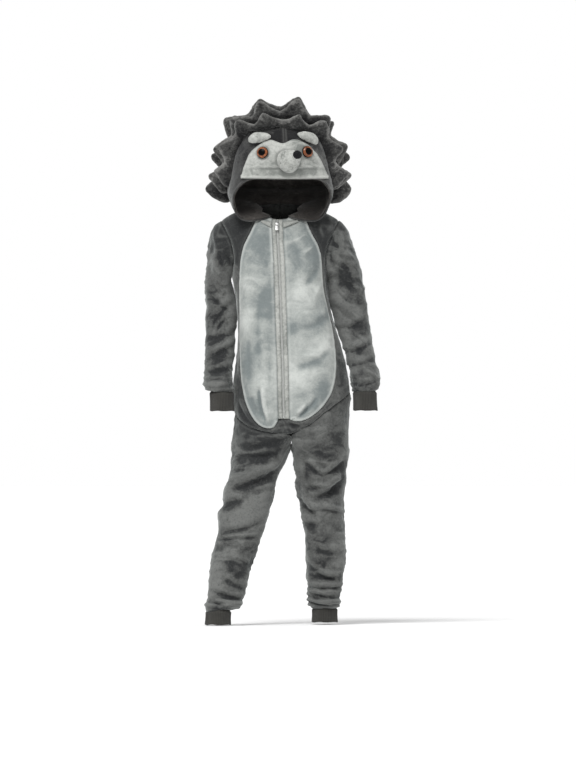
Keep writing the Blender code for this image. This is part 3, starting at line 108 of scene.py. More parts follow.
class Graph:
    """The node tree of one material."""

    def __init__(self, name: str) -> None:
        """Start a material with a lone Principled shader."""
        self.material = bpy.data.materials.new(name)
        self.material.use_nodes = True
        self.tree = self.material.node_tree
        self.shader = self.tree.nodes["Principled BSDF"]

    def add(self, kind: str, settings: dict, *values: object, out: str | int = 0,
            **named: object) -> Wire:
        """Add any node.

        Args:
            kind: The node's type.
            settings: Properties of the node, set before its sockets.
            values: Values or wires of its enabled input sockets, in order.
            out: Name or index of the output that is returned.
            named: Values or wires of input sockets by name.

        Returns:
            A wire from the chosen output.
        """
        node = self.tree.nodes.new(kind)
        for key, value in settings.items():
            setattr(node, key, value)
        sockets = [socket for socket in node.inputs if socket.enabled]
        pairs = list(zip(sockets, values))
        pairs += [(next(s for s in sockets if s.name == key.replace("_", " ")), value)
                  for key, value in named.items()]
        for socket, value in pairs:
            if isinstance(value, Wire):
                self.tree.links.new(value.socket, socket)
            else:
                socket.default_value = value
        outputs = [socket for socket in node.outputs if socket.enabled]
        if isinstance(out, int):
            return Wire(self, outputs[out])
        return Wire(self, next(socket for socket in outputs if socket.name == out))

    def place(self) -> Wire:
        """Return the object coordinates."""
        return self.add("ShaderNodeTexCoord", {}, out="Object")

    def attribute(self, name: str) -> Wire:
        """Return a float attribute of the mesh."""
        return self.add("ShaderNodeAttribute", {"attribute_name": name}, out="Fac")

    def stretched(self, place: Wire, scale: Sequence[float],
                  turn: Sequence[float] = (0, 0, 0)) -> Wire:
        """Scale and turn coordinates."""
        return self.add("ShaderNodeMapping", {}, place, (0, 0, 0), turn, scale)

    def noise(self, place: Wire, scale: float, detail: float = 2.0, rough: float = 0.5,
              warp: float = 0.0) -> Wire:
        """Return a noise value around 0.5."""
        return self.add("ShaderNodeTexNoise", {}, Vector=place, Scale=scale, Detail=detail,
                        Roughness=rough, Distortion=warp)

    def mix(self, share: Wire, *colors: object) -> Wire:
        """Mix two colours by the share of the second."""
        filled = [(*color, 1.0) if isinstance(color, tuple) else color for color in colors]
        return self.add("ShaderNodeMix", {"data_type": "RGBA"}, share, *filled)

    def bump(self, height: Wire, strength: float, distance: float) -> Wire:
        """Turn a height in metres over distance into a normal."""
        return self.add("ShaderNodeBump", {}, Strength=strength, Distance=distance, Height=height)

    def finish(self, links: dict[str, Wire], **constants: object) -> bpy.types.Material:
        """Link the varying inputs, set the others on the shader and return the material."""
        for name, wire in links.items():
            self.tree.links.new(wire.socket, self.shader.inputs[name])
        for name, value in constants.items():
            self.shader.inputs[name.replace("_", " ")].default_value = value
        return self.material


Color = tuple[float, float, float]


class Finish:
    """What a piece is made of."""

    name: str

    def build(self) -> bpy.types.Material:
        """Return the material."""
        raise NotImplementedError


@dataclass(frozen=True)
class PlushFinish(Finish):
    """Short pile with a nap, lighter or darker where the nap lies another way, with painted shade
    and highlights.
    """

    name: str
    deep: Color
    middle: Color
    pale: Color
    patch_scale: float
    patch_turn: float
    sheen: float
    sheen_tint: Color
    pile_depth: float = 0.0011
    softness: float = 1.0
    blotch: float = 0.5
    grain: float = 1.0
    dark_below: float = 0.46
    pale_above: float = 0.56
    tuft_scale: float = 210.0
    pile_scale: float = 620.0
    # shares by which the painted fold shade and the lighter and darker spots lean the pile's tone
    painted_fold_shade_share: float = 0.085
    spot_share: float = 0.12
    # distances from the seam of the painted shade in its groove, and of the painted highlight on
    # the cloth beside it
    seam_shade: tuple[float, float] = (0.0026, 0.0004)
    seam_highlight: tuple[float, float] = (0.0020, 0.0095)

    def build(self) -> bpy.types.Material:
        """Return the material."""
        graph = Graph(self.name)
        place = graph.place()
        long_way = graph.stretched(place, (1.0, 1.0, 0.6), (0.0, self.patch_turn, 0.0))
        nap = graph.noise(long_way, self.patch_scale, 3.0, 0.5, 0.5)
        level_way = graph.stretched(place, (1.0, 1.0, 1.5))
        blot = graph.noise(level_way, self.patch_scale * 3.4, 6.0, 0.62, 1.1)
        tuft = graph.noise(place, self.tuft_scale, 4.0, 0.65)
        pile = graph.noise(place, self.pile_scale, 3.0, 0.7)
        fold = graph.attribute("fold")
        # The pile's tone takes in the painted shade of the fold attribute and the spots of the nap
        # attribute, which on the face and brow are painted light and shade.
        nap_and_painted_shade = nap * (1 - self.blotch) + blot * self.blotch
        nap_and_painted_shade = nap_and_painted_shade + fold * self.painted_fold_shade_share + graph.attribute("nap") * self.spot_share
        soft = self.softness
        low = nap_and_painted_shade.step(self.dark_below + 0.035 * soft, self.dark_below - 0.045 * soft)
        high = nap_and_painted_shade.step(self.pale_above - 0.035 * soft, self.pale_above + 0.065 * soft)
        color = graph.mix(low * 0.9, self.middle, self.deep)
        color = graph.mix(high * 0.85, color, self.pale)
        # Painted shade darkens the folds' valleys and a painted highlight lightens their ridges.
        color = graph.mix(fold.step(-0.2, -0.9) * 0.78, color, self.deep)
        color = graph.mix(fold.step(0.35, 1.0) * 0.42, color, self.pale)
        speck = (tuft - 0.5) * 0.85 + (pile - 0.5) * 0.55
        light_specks = (speck * (1.8 * self.grain)).clamp()
        color = graph.mix(light_specks * (1 - low * 0.55), color, self.pale)
        color = graph.mix((speck * (-2.1 * self.grain)).clamp(), color, self.deep)
        seam = graph.attribute("seam")
        # A painted highlight lightens the cloth beside each seam, and painted shade darkens the
        # seam's groove.
        inner, outer = self.seam_highlight
        seam_highlight_band = seam.step(inner, inner * 2) * seam.step(outer, 0.0048)
        color = graph.mix(seam_highlight_band * 0.16, color, self.pale)
        color = graph.mix(seam.step(*self.seam_shade) * 0.35, color, self.deep)
        # A painted highlight lightens the welts along rims and the stitched crests of stuffed
        # pieces.
        color = graph.mix(graph.attribute("welt") * 0.55, color, self.pale)
        normal = graph.bump(tuft * 0.6 + pile * 0.4, 0.85, self.pile_depth)
        roughness = 0.82 + (1 - high) * 0.12
        return graph.finish({"Base Color": color, "Roughness": roughness, "Normal": normal},
                            Sheen_Weight=self.sheen, Sheen_Roughness=0.42,
                            Sheen_Tint=(*self.sheen_tint, 1.0), Specular_IOR_Level=0.12)


@dataclass(frozen=True)
class KnitFinish(Finish):
    """Fine knit whose wales run along the piece's own UV map."""

    name: str
    dark: Color
    light: Color
    wales: float
    rows: float

    def build(self) -> bpy.types.Material:
        """Return the material."""
        graph = Graph(self.name)
        uv = graph.add("ShaderNodeTexCoord", {}, out="UV")
        across, down = (graph.add("ShaderNodeSeparateXYZ", {}, uv, out=axis) for axis in "XY")
        wale = (across * (self.wales * math.tau)).sine()
        loop = (down * (self.rows * math.tau) + wale * 0.9).sine()
        fuzz = graph.noise(graph.place(), 700.0, 3.0, 0.65)
        worn = graph.noise(graph.place(), 38.0, 3.0, 0.5)
        stitch = wale * 0.3 + loop * 0.2 + 0.5
        color = graph.mix((stitch * 0.55 + fuzz * 0.45).clamp(), self.dark, self.light)
        color = graph.mix(worn.step(0.42, 0.7) * 0.3, color, self.light)
        normal = graph.bump(stitch * 0.7 + fuzz * 0.5, 0.6, 0.0006)
        return graph.finish({"Base Color": color, "Normal": normal},
                            Roughness=0.92, Sheen_Weight=0.25, Sheen_Roughness=0.5,
                            Specular_IOR_Level=0.15)


@dataclass(frozen=True)
class GlossFinish(Finish):
    """Moulded plastic with faint streaks under a clear coat."""

    name: str
    dark: Color
    light: Color
    streak_scale: float
    roughness: float
    coat: float = 0.25
    shine: float = 0.3

    def build(self) -> bpy.types.Material:
        """Return the material."""
        graph = Graph(self.name)
        streak = graph.noise(graph.place(), self.streak_scale, 4.0, 0.6, 1.2)
        color = graph.mix(streak.step(0.3, 0.7), self.dark, self.light)
        rough = streak * 0.08 + self.roughness
        return graph.finish({"Base Color": color, "Roughness": rough},
                            Coat_Weight=self.coat, Coat_Roughness=0.08,
                            Specular_IOR_Level=self.shine)


@dataclass(frozen=True)
class CurlFinish(Finish):
    """Curled pile, as on the nose."""

    name: str
    dark: Color
    light: Color

    def build(self) -> bpy.types.Material:
        """Return the material."""
        graph = Graph(self.name)
        place = graph.place()
        curl = graph.add("ShaderNodeTexVoronoi", {"feature": "SMOOTH_F1"}, Vector=place,
                         Scale=430.0)
        fine = graph.noise(place, 900.0, 3.0, 0.6)
        height = 1 - curl
        share = height.step(0.35, 0.9) * 0.7 + fine * 0.3
        color = graph.mix(share.clamp(), self.dark, self.light)
        normal = graph.bump(height * 0.8 + fine * 0.2, 0.8, 0.0012)
        return graph.finish({"Base Color": color, "Normal": normal}, Roughness=0.6,
                            Sheen_Weight=0.04, Sheen_Roughness=0.4, Specular_IOR_Level=0.14)


@dataclass(frozen=True)
class MetalFinish(Finish):
    """Plated zip metal with fine scratches."""

    name: str
    dark: Color
    light: Color
    roughness: float

    def build(self) -> bpy.types.Material:
        """Return the material."""
        graph = Graph(self.name)
        drawn = graph.stretched(graph.place(), (1.0, 1.0, 0.08))
        scratch = graph.noise(drawn, 2600.0, 3.0, 0.6)
        tarnish = graph.noise(graph.place(), 260.0, 3.0, 0.6)
        color = graph.mix(tarnish.step(0.35, 0.75), self.light, self.dark)
        rough = scratch * 0.22 + self.roughness
        normal = graph.bump(scratch, 0.25, 0.0001)
        return graph.finish({"Base Color": color, "Roughness": rough, "Normal": normal},
                            Metallic=1.0)


DARK_PLUSH = PlushFinish("dark_plush", (0.021, 0.022, 0.023), (0.086, 0.088, 0.085),
                         (0.152, 0.156, 0.150), 8.5, 0.35, 0.5, (0.80, 0.84, 0.82), softness=1.5)
HOOD_PLUSH = PlushFinish("hood_plush", (0.013, 0.013, 0.014), (0.040, 0.040, 0.040),
                         (0.110, 0.110, 0.106), 12.0, 0.35, 0.4, (0.75, 0.77, 0.76), 0.0012, 0.8)
# The spikes' plush is the hood's with a paler pale and a deeper deep, for the painted highlight on
# the crests and the painted shade in the hollows.
SPIKE_PLUSH = PlushFinish("spike_plush", (0.011, 0.011, 0.012), (0.043, 0.043, 0.042),
                          (0.200, 0.198, 0.190), 21.0, 0.35, 0.5, (0.78, 0.80, 0.79), 0.0013, 1.3)
LIGHT_PLUSH = PlushFinish("light_plush", (0.165, 0.189, 0.190), (0.330, 0.349, 0.335),
                          (0.560, 0.580, 0.554), 7.0, 0.5, 0.3, (0.95, 0.97, 0.96), 0.0009, 2.2,
                          0.33, 0.6)
FACE_PLUSH = PlushFinish("face_plush", (0.190, 0.200, 0.188), (0.370, 0.380, 0.358),
                         (0.520, 0.530, 0.502), 15.0, 0.2, 0.25, (0.95, 0.97, 0.96), 0.0009, 2.0)
# The trim's plush is the face's with a much darker deep, for the painted shade at the pieces'
# roots.
TRIM_PLUSH = PlushFinish("trim_plush", (0.095, 0.100, 0.094), (0.400, 0.410, 0.386),
                         (0.560, 0.570, 0.540), 24.0, 0.2, 0.25, (0.95, 0.97, 0.96), 0.0009, 2.0)
RIB_KNIT = KnitFinish("rib_knit", (0.014, 0.014, 0.013), (0.060, 0.058, 0.052), 46.0, 26.0)
TAPE_KNIT = KnitFinish("zip_tape", (0.235, 0.240, 0.231), (0.400, 0.406, 0.392), 60.0, 60.0)
LINING_KNIT = PlushFinish("hood_lining_fleece", (0.032, 0.029, 0.027), (0.058, 0.053, 0.049),
                          (0.105, 0.097, 0.090), 12.0, 0.3, 0.25, (0.8, 0.8, 0.78), 0.0005)
IRIS = GlossFinish("iris_amber", (0.055, 0.016, 0.007), (0.34, 0.11, 0.040), 110.0, 0.26, 0.08)
PUPIL = GlossFinish("pupil_black", (0.001, 0.001, 0.001), (0.003, 0.003, 0.003), 60.0, 0.3,
                    0.03, 0.06)
NOSE_PILE = CurlFinish("nose_pile", (0.002, 0.002, 0.0025), (0.012, 0.012, 0.014))
PULL_METAL = MetalFinish("pull_metal", (0.20, 0.20, 0.195), (0.55, 0.55, 0.54), 0.3)
TEETH_NYLON = GlossFinish("teeth_nylon", (0.36, 0.37, 0.355), (0.46, 0.47, 0.45), 120.0, 0.38)


class Finishes:
    """Builds each finish once."""

    def __init__(self) -> None:
        """Start with no materials."""
        self.built: dict[str, bpy.types.Material] = {}

    def get(self, finish: Finish) -> bpy.types.Material:
        """Return the material of a finish."""
        if finish.name not in self.built:
            self.built[finish.name] = finish.build()
        return self.built[finish.name]


FINISHES = Finishes()


# ------------------------------------------------------------------ folds in the cloth

def noise_at(points: np.ndarray, spot: Callable[[Vector], Vector]) -> np.ndarray:
    """Return smooth noise for each point, read at the spot that belongs to it."""
    return np.array([noise.noise(spot(Vector(point))) for point in points])


def table(kind: type, rows: str, *last: object) -> tuple:
    """Return a fold or a nap spot for each row of numbers, with any last values added."""
    return tuple(kind(*map(float, row.split()), *last) for row in rows.strip().split("\n"))


VALLEY_CURVE = 1.35      # how pointed a crease's valley is; 2 is a bell
CREST_PLACE = 1.75       # from the valley to the ridge over it, in widths of the crease
CREST_WIDTH = 1.15
END_CURVE = 0.8          # how a fold dies out at its ends
CREASE_GAIN = 1.25       # share by which all creases are deepened


class Facing(Enum):
    """The side of the garment on which a crease is drawn."""

    FRONT = -1
    BACK = 1


class Fold:
    """Anything that moves cloth out of its plain form."""

    def lift(self, points: np.ndarray, normals: np.ndarray) -> np.ndarray:
        """Return how far each point is moved outwards.

        Args:
            points: Places of the cloth.
            normals: Outward normals there.

        Returns:
            Distances in metres, negative where the cloth sinks.
        """
        raise NotImplementedError


@dataclass(frozen=True)
class Crease(Fold):
    """A sunk line with a ridge over it, between two spots given by x and z in millimetres."""

    x0: float
    z0: float
    x1: float
    z1: float
    bend: float
    width: float
    depth: float
    ridge: float
    facing: Facing = Facing.FRONT

    def lift(self, points: np.ndarray, normals: np.ndarray) -> np.ndarray:
        """Return how far the crease moves each point outwards."""
        start = np.array((self.x0, self.z0)) * MM
        end = np.array((self.x1, self.z1)) * MM
        half = np.linalg.norm(end - start) / 2
        along = (end - start) / (2 * half)
        across = np.array((-along[1], along[0]))
        if across[1] < 0:
            across = -across
        flat = points[:, [0, 2]] - (start + end) / 2
        run = flat @ along / half
        off = flat @ across - self.bend * MM * (1 - run ** 2)
        width = self.width * MM
        valley = -np.exp(-np.abs(off / width) ** VALLEY_CURVE)
        crest = self.ridge * np.exp(-((off - CREST_PLACE * width) / (CREST_WIDTH * width)) ** 2)
        fade = np.clip(1 - run ** 2, 0, 1) ** END_CURVE
        shown = np.clip(normals[:, 1] * self.facing.value * 1.8 + 0.55, 0, 1)
        return (valley + crest) * fade * shown * self.depth * MM * CREASE_GAIN


@dataclass(frozen=True)
class Bunch(Fold):
    """Tight folds that ring a limb over its cuff, in millimetres."""

    level: float
    reach: float
    pitch: float
    depth: float
    waver: float = 11.2
    onset: float = 6.0

    def lift(self, points: np.ndarray, normals: np.ndarray) -> np.ndarray:
        """Return how far the folds move each point outwards."""
        over = points[:, 2] / MM - self.level
        sway = np.array([noise.noise(Vector((p[0] * 16, p[1] * 16, p[2] * 7))) for p in points])
        share = np.clip(over / self.reach, 0, 1)
        phase = math.tau * (over + self.waver * sway) / self.pitch
        envelope = np.clip(over / self.onset, 0, 1) * (1 - share) ** END_CURVE
        return (np.sin(phase) * 0.75 + 0.15) * envelope * self.depth * MM


@dataclass(frozen=True)
class Unrest(Fold):
    """The slight unevenness of hanging plush."""

    size: float
    depth: float
    fine_depth: float

    def lift(self, points: np.ndarray, normals: np.ndarray) -> np.ndarray:
        """Return how far each point moves outwards."""
        wide = noise_at(points, lambda p: p / self.size + Vector((3.1, 7.7, 1.9)))
        fine = noise_at(points, lambda p: p / self.size * 3.1 + Vector((9.2, 2.3, 5.5)))
        return wide * self.depth + fine * self.fine_depth


@dataclass(frozen=True)
class Puff(Fold):
    """Cloth that swells over a cuff, in millimetres."""

    level: float
    reach: float
    depth: float

    def lift(self, points: np.ndarray, normals: np.ndarray) -> np.ndarray:
        """Return how far the swelling moves each point outwards."""
        level = (normals[:, 0] ** 2 + normals[:, 1] ** 2) ** 0.5
        over = (points[:, 2] / MM - self.level) / self.reach
        return np.exp(-over ** 2) * level * self.depth * MM


@dataclass(frozen=True)
class Swell(Fold):
    """A place where cloth bulges out, in millimetres."""

    x: float
    z: float
    half_width: float
    half_height: float
    depth: float

    def lift(self, points: np.ndarray, normals: np.ndarray) -> np.ndarray:
        """Return how far the bulge moves each point outwards."""
        across = (points[:, 0] / MM - self.x) / self.half_width
        up = (points[:, 2] / MM - self.z) / self.half_height
        return np.exp(-(across ** 2 + up ** 2)) * self.depth * MM


@dataclass(frozen=True)
class LightDarkSpot:
    """A place where the colour is lighter (+) or darker (-), in millimetres."""

    x: float
    z: float
    half_width: float
    half_height: float
    lean: float
    amount: float

    def shade(self, points: np.ndarray) -> np.ndarray:
        """Return the spot's share at each point."""
        turn = (math.cos(math.radians(self.lean)), math.sin(math.radians(self.lean)))
        over = points[:, [0, 2]] / MM - (self.x, self.z)
        along = (over[:, 0] * turn[0] + over[:, 1] * turn[1]) / self.half_width
        across = (over[:, 1] * turn[0] - over[:, 0] * turn[1]) / self.half_height
        return self.amount * np.exp(-(along ** 2 + across ** 2))


BODY_SPOTS = table(LightDarkSpot, """
    -141 -28 40 44 0 -1.6
    -99 -30 34 60 0 -2.0
    96 -32 40 60 0 -1.7
    136 -14 34 36 0 -0.9
    150 -70 14 34 -20 0.9
    162 -125 34 60 0 0.35
    -148 -200 34 90 0 0.4
    -150 -110 14 40 10 0.8
    -158 -330 40 34 0 -0.5
    -80 -450 30 40 40 -0.4
    110 -470 60 30 0 0.4
    -95 -560 60 26 5 -0.5
    -60 -650 60 30 40 0.8
    95 -620 46 26 0 -0.6
    130 -720 26 60 0 0.7
    -120 -720 50 40 20 0.5
    -60 -790 26 60 -20 -0.8
""")
BELLY_SPOTS = table(LightDarkSpot, """
    -47 -50 40 60 0 -1.2
    55 -50 46 66 0 -1.1
    -33 -183 22 50 10 -0.8
    -62 -300 40 110 0 -0.25
    60 -240 60 15 24 -0.9
    89 -329 24 16 20 -0.6
    -72 -343 20 26 0 -0.5
    103 -395 22 18 30 -0.7
    -66 -437 16 34 20 -0.9
    70 -165 70 34 42 1.1
    60 -310 60 50 20 0.5
    -78 -225 24 50 0 0.9
    -45 -385 26 40 -20 1.0
    96 -290 30 18 15 1.0
    47 -362 34 26 30 0.9
    -82 -140 14 34 0 0.6
    -30 -455 20 22 0 1.0
""")
# Painted shade below and beside the snout and painted light higher up on the face.
FACE_PAINTED_LIGHT_AND_SHADE = table(LightDarkSpot, """
    22 112 34 12 6 -1.6
    44 150 16 26 -20 -1.2
    -22 140 12 30 10 -0.6
    -60 150 18 20 0 0.6
    10 172 24 12 0 0.7
    84 126 20 20 0 -0.5
""")
# The dark spot is painted shade on the brow under the first row of spikes; the wide one makes the
# lower hood a little lighter.
HOOD_SPOTS = (LightDarkSpot(8, 190, 46, 30, 0, -1.6), LightDarkSpot(0, 60, 150, 60, 0, 0.3))


@dataclass(frozen=True)
class Wrinkles(Fold):
    """Soft ridges that run one way, strong in some places and absent in others."""

    length: float
    width: float
    lean: float
    depth: float
    seed: float = 0.0

    def lift(self, points: np.ndarray, normals: np.ndarray) -> np.ndarray:
        """Return how far the ridges move each point outwards."""
        turn = (math.cos(self.lean), math.sin(self.lean))
        along = (points[:, 0] * turn[0] + points[:, 2] * turn[1]) / self.length
        across = (points[:, 2] * turn[0] - points[:, 0] * turn[1]) / self.width
        side = points[:, 1] / self.length + self.seed
        ridges = np.array([1 - 2.4 * abs(noise.noise(Vector(spot)))
                           for spot in zip(along, side, across)])
        shown = noise_at(points, lambda p: p * 11.0 + Vector((self.seed, 0, 0)))
        height = (np.clip(ridges, 0, 1) ** 2.2 - 0.25) * np.clip(0.45 + 1.4 * shown, 0, 1)
        return height * self.depth


PLAIN_UNREST = Unrest(0.055, 0.0042, 0.0013)
SOFT_UNREST = Unrest(0.07, 0.0026, 0.0008)
CALM_UNREST = Unrest(0.05, 0.0008, 0.0004)
HOOD_UNREST = Unrest(0.05, 0.0016, 0.0007)
EAR_UNREST = Unrest(0.016, 0.0014, 0.0005)
SPIKE_UNREST = Unrest(0.022, 0.0026, 0.0010)
FACE_CREASES = table(Crease, """
    -100 118 118 118 3 3.0 2.0 0.9
    -60 140 -40 196 4 7 1.0 0.4
    84 140 66 196 4 7 1.0 0.4
    -20 122 -60 128 3 6 0.9 0.4
""")

RIGHT_LEG_CREASES = table(Crease, """
    -103 -550 -2 -540 -5 6 3.5 0.6
    -118 -630 2 -573 -9 9 7.5 0.9
    -122 -609 -42 -599 -5 6 3.5 0.6
    -136 -672 -80 -653 5 8 4 0.6
    -148 -745 -42 -738 0 4 3.2 0.9
    -136 -726 -33 -698 -7 8 4 0.5
    -94 -524 14 -512 -7 7 3 0.5
    -150 -794 -85 -808 5 8 3 0.5
    -103 -841 -42 -785 7 8 3 0.5
    -169 -855 -80 -884 -7 6 4.5 0.7
    -174 -879 -87 -907 -7 6 5 0.8
    -162 -902 -94 -916 -2 5 4 0.7
    -136 -830 -70 -865 -5 6 3.5 0.6
""")
RIGHT_LEG_SWELLS = table(Swell, """
    -110 -566 22 12 3.5
    -128 -606 22 10 -4.0
    -134 -636 24 11 4.0
    -134 -664 22 9 -3.5
    -144 -690 24 12 4.5
    -150 -726 22 12 -2.5
    -92 -905 20 14 5.0
""")
LEFT_LEG_SWELLS = table(Swell, """
    150 -545 18 12 3.0
    150 -585 18 10 -3.5
    148 -612 18 11 3.0
    60 -690 18 14 3.0
    62 -835 16 10 3.0
    62 -872 16 8 3.0
""")
LEFT_LEG_CREASES = table(Crease, """
    61 -564 108 -599 -5 6 4 0.7
    94 -599 155 -555 -5 6 4.5 0.8
    61 -616 118 -623 -7 6 4 0.7
    80 -653 153 -597 -7 8 6.5 0.9
    42 -644 89 -691 -5 7 4.5 0.7
    61 -679 155 -691 9 5 4.5 0.9
    47 -700 99 -710 -5 6 3 0.6
    47 -522 61 -606 5 8 3 0.4
    61 -766 153 -776 -5 7 2.5 0.5
    61 -799 141 -841 -9 6 4.5 0.7
    66 -827 153 -827 -9 6 4.5 0.8
    61 -851 153 -855 -7 5 4.5 0.8
    61 -872 150 -874 -5 5 4.5 0.8
    66 -891 148 -893 -5 5 4 0.7
""")
RIGHT_SLEEVE_SWELLS = table(Swell, """
    -106 -140 16 50 9.5
    -108 -205 16 44 9.5
    -108 -290 16 60 4.5
""")
LEFT_SLEEVE_SWELLS = table(Swell, """
    112 -120 18 45 9.0
    124 -190 18 50 13.0
    141 -265 20 50 13.0
    154 -330 20 40 9.0
""")
RIGHT_SLEEVE_CREASES = table(Crease, """
    -160 -262 -128 -214 9 3 2.2 0.4
    -150 -275 -116 -222 9 3 2.2 0.4
    -170 -236 -140 -196 8 3 2.0 0.4
    -132 -75 -103 -127 5 6 4 0.6
    -146 -66 -134 -108 2 5 3 0.6
    -169 -160 -113 -212 -7 7 3.5 0.6
    -160 -226 -108 -183 -5 7 4 0.6
    -172 -273 -103 -254 -7 7 4 0.6
    -164 -315 -103 -282 -7 7 4.5 0.7
    -174 -352 -103 -338 -5 7 3.5 0.6
    -174 -385 -108 -381 -7 6 3.5 0.6
""")
LEFT_SLEEVE_CREASES = table(Crease, """
    130 -150 172 -196 -6 3 2.2 0.4
    138 -205 190 -238 -6 3 2.2 0.4
    160 -260 206 -300 6 3 2.0 0.4
    110 -24 134 -66 2 5 5 0.9
    132 -26 136 -70 2 4 4 0.9
    113 -66 127 -113 2 6 4.5 0.7
    146 -94 169 -164 5 8 3 0.5
    118 -183 183 -226 -7 8 4 0.6
    132 -254 202 -226 -7 8 4 0.6
    146 -306 221 -277 -9 7 5 0.8
    141 -338 226 -320 -7 7 4 0.6
    150 -381 226 -376 -7 6 3.5 0.6
""")
BELLY_CREASES = table(Crease, """
    -49 -385 -33 -475 -5 5 7 0.7
    -66 -409 -52 -456 -5 7 3 0.5
    68 -432 40 -461 -2 5 5.5 0.7
    89 -409 56 -446 -5 6 3 0.5
    -49 -183 -45 -352 -5 9 2.2 0.5
    -73 -254 -66 -400 -5 8 2 0.5
    -28 -254 -28 -418 5 8 1.8 0.5
    52 -155 99 -94 -5 10 2.5 0.5
    47 -254 127 -212 -7 9 2.5 0.5
    38 -343 122 -301 -7 9 2.2 0.5
    -42 -66 -19 -160 5 9 2 0.5
    24 -42 47 -113 5 9 1.8 0.5
""")
FRONT_CREASES = table(Crease, """
    -103 -254 -87 -418 -5 7 3.5 0.6
    -99 -414 -56 -484 -7 6 5 0.8
    -9 -482 47 -482 5 5 5 0.6
    66 -475 118 -414 -7 6 4 0.7
    118 -254 141 -371 5 7 3 0.5
    -94 -85 -99 -183 -5 6 3.5 0.5
    108 -94 120 -183 5 6 3.5 0.5
""")
BACK_CREASES = table(Crease, """
    -85 -183 89 -212 -12 12 5 0.6
    -75 -235 99 -254 12 12 5 0.6
    -94 -289 47 -306 -12 11 4.5 0.6
    -33 -343 118 -324 9 11 4.5 0.6
    -94 -418 5 -475 -12 10 5 0.6
    108 -418 24 -475 -12 10 5 0.6
    -99 -94 -42 -141 -7 9 4 0.6
    113 -94 56 -146 -7 9 4 0.6
    -42 -42 61 -52 -12 12 3.5 0.5
""", Facing.BACK)


LEG_FOLDS = {"right": (*RIGHT_LEG_CREASES, *RIGHT_LEG_SWELLS, PLAIN_UNREST),
             "left": (*LEFT_LEG_CREASES, *LEFT_LEG_SWELLS, PLAIN_UNREST)}
LEG_BUNCHES = {"right": Bunch(-905, 34, 12, 2.8), "left": Bunch(-905, 66, 13, 3.6)}
SLEEVE_FOLDS = {"right": (*RIGHT_SLEEVE_CREASES, *RIGHT_SLEEVE_SWELLS, PLAIN_UNREST),
                "left": (*LEFT_SLEEVE_CREASES, *LEFT_SLEEVE_SWELLS, PLAIN_UNREST)}


# ------------------------------------------------------------------ cloth panels

SAME_SPOT = 0.00001      # distance within which two vertices are one
WALL_SLACK = 0.00004     # by which an edge across a wall may miss its thickness
UNDER_SURFACE = 0.003    # how deep a drawn edge goes under the surface that it is sewn to
CALM_AT_SEAM = 0.022     # distance from a seam over which folds die away
FULL_SHADE = 0.0034      # depth at which a fold gets its full shade
PAINTED_SHADE_REACH = 0.008    # how far painted shade reaches round a piece laid on top
WELT_INSET = 0.0022      # from an edge to the crown of its welt
WELT_WIDTH = 0.0026
RIPPLE_SCALE = 95.0      # of the puckers along a seam
RIPPLE_REACH = 0.011


def nearest_distances(points: np.ndarray, marks: Sequence[Vector]) -> np.ndarray:
    """Return the distance from each point to the nearest mark, or 1 m without marks."""
    if not marks:
        return np.full(len(points), 1.0)
    tree = kdtree.KDTree(len(marks))
    for number, mark in enumerate(marks):
        tree.insert(mark, number)
    tree.balance()
    return np.array([tree.find(point)[2] for point in points])


def nearest_on_nodes(points: np.ndarray, nodes: Sequence[str]) -> tuple[np.ndarray, np.ndarray]:
    """Find the nearest surface of some nodes.

    Args:
        points: Places to start from.
        nodes: Names of the nodes.

    Returns:
        The distance from each point, and the spot a little under that surface.
    """
    trees = []
    for node in nodes:
        bm = merged_copy(node)
        trees.append(bvhtree.BVHTree.FromBMesh(bm))
        bm.free()
    hits = [min((tree.find_nearest(Vector(point)) for tree in trees), key=lambda hit: hit[3])
            for point in points]
    spots = [place - normal * UNDER_SURFACE for place, normal, _, _ in hits]
    return np.array([hit[3] for hit in hits]), np.array(spots)


def merged_copy(node: str) -> bmesh.types.BMesh:
    """Return a copy of a node's mesh with its doubles merged."""
    bm = bmesh.new()
    bm.from_mesh(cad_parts[node].data)
    bmesh.ops.remove_doubles(bm, verts=bm.verts, dist=SAME_SPOT)
    return bm


def join_quads(bm: bmesh.types.BMesh, degrees: float) -> None:
    """Join the triangles in pairs where they are flat to within an angle."""
    limit = math.radians(degrees)
    bmesh.ops.join_triangles(bm, faces=bm.faces[:], angle_face_threshold=limit,
                             angle_shape_threshold=limit)


def island_of(face: bmesh.types.BMFace, seen: set[bmesh.types.BMFace]) -> list[bmesh.types.BMFace]:
    """Return all faces joined to a face, and add them to the seen ones."""
    found = [face]
    seen.add(face)
    for member in found:
        for edge in member.edges:
            for other in edge.link_faces:
                if other not in seen:
                    seen.add(other)
                    found.append(other)
    return found


def outer_skin(node: str, wall: float) -> bmesh.types.BMesh:
    """Return only the outer face of a cloth node, as quads.

    Args:
        node: Name of a node that is a wall with a rim round it.
        wall: Thickness of that wall.

    Returns:
        An open sheet whose normals point outwards.
    """
    bm = merged_copy(node)
    posts = {edge for edge in bm.edges if abs(edge.calc_length() - wall) < WALL_SLACK}
    rim = [face for face in bm.faces if any(edge in posts for edge in face.edges)]
    bmesh.ops.delete(bm, geom=rim, context="FACES")
    seen: set[bmesh.types.BMFace] = set()
    islands = [island_of(face, seen) for face in bm.faces if face not in seen]
    islands.sort(key=lambda faces: sum(face.calc_area() for face in faces), reverse=True)
    spare = [face for faces in islands[1:] for face in faces]
    bmesh.ops.delete(bm, geom=spare, context="FACES")
    join_quads(bm, 70.0)
    return bm


def new_mesh(bm: bmesh.types.BMesh, name: str) -> bpy.types.Mesh:
    """Return the mesh of a bmesh, which is freed."""
    mesh = bpy.data.meshes.new(name)
    bm.to_mesh(mesh)
    bm.free()
    return mesh


def new_object(name: str, data: bpy.types.ID) -> bpy.types.Object:
    """Put an object with some data into the scene and return it."""
    added = bpy.data.objects.new(name, data)
    bpy.context.scene.collection.objects.link(added)
    return added


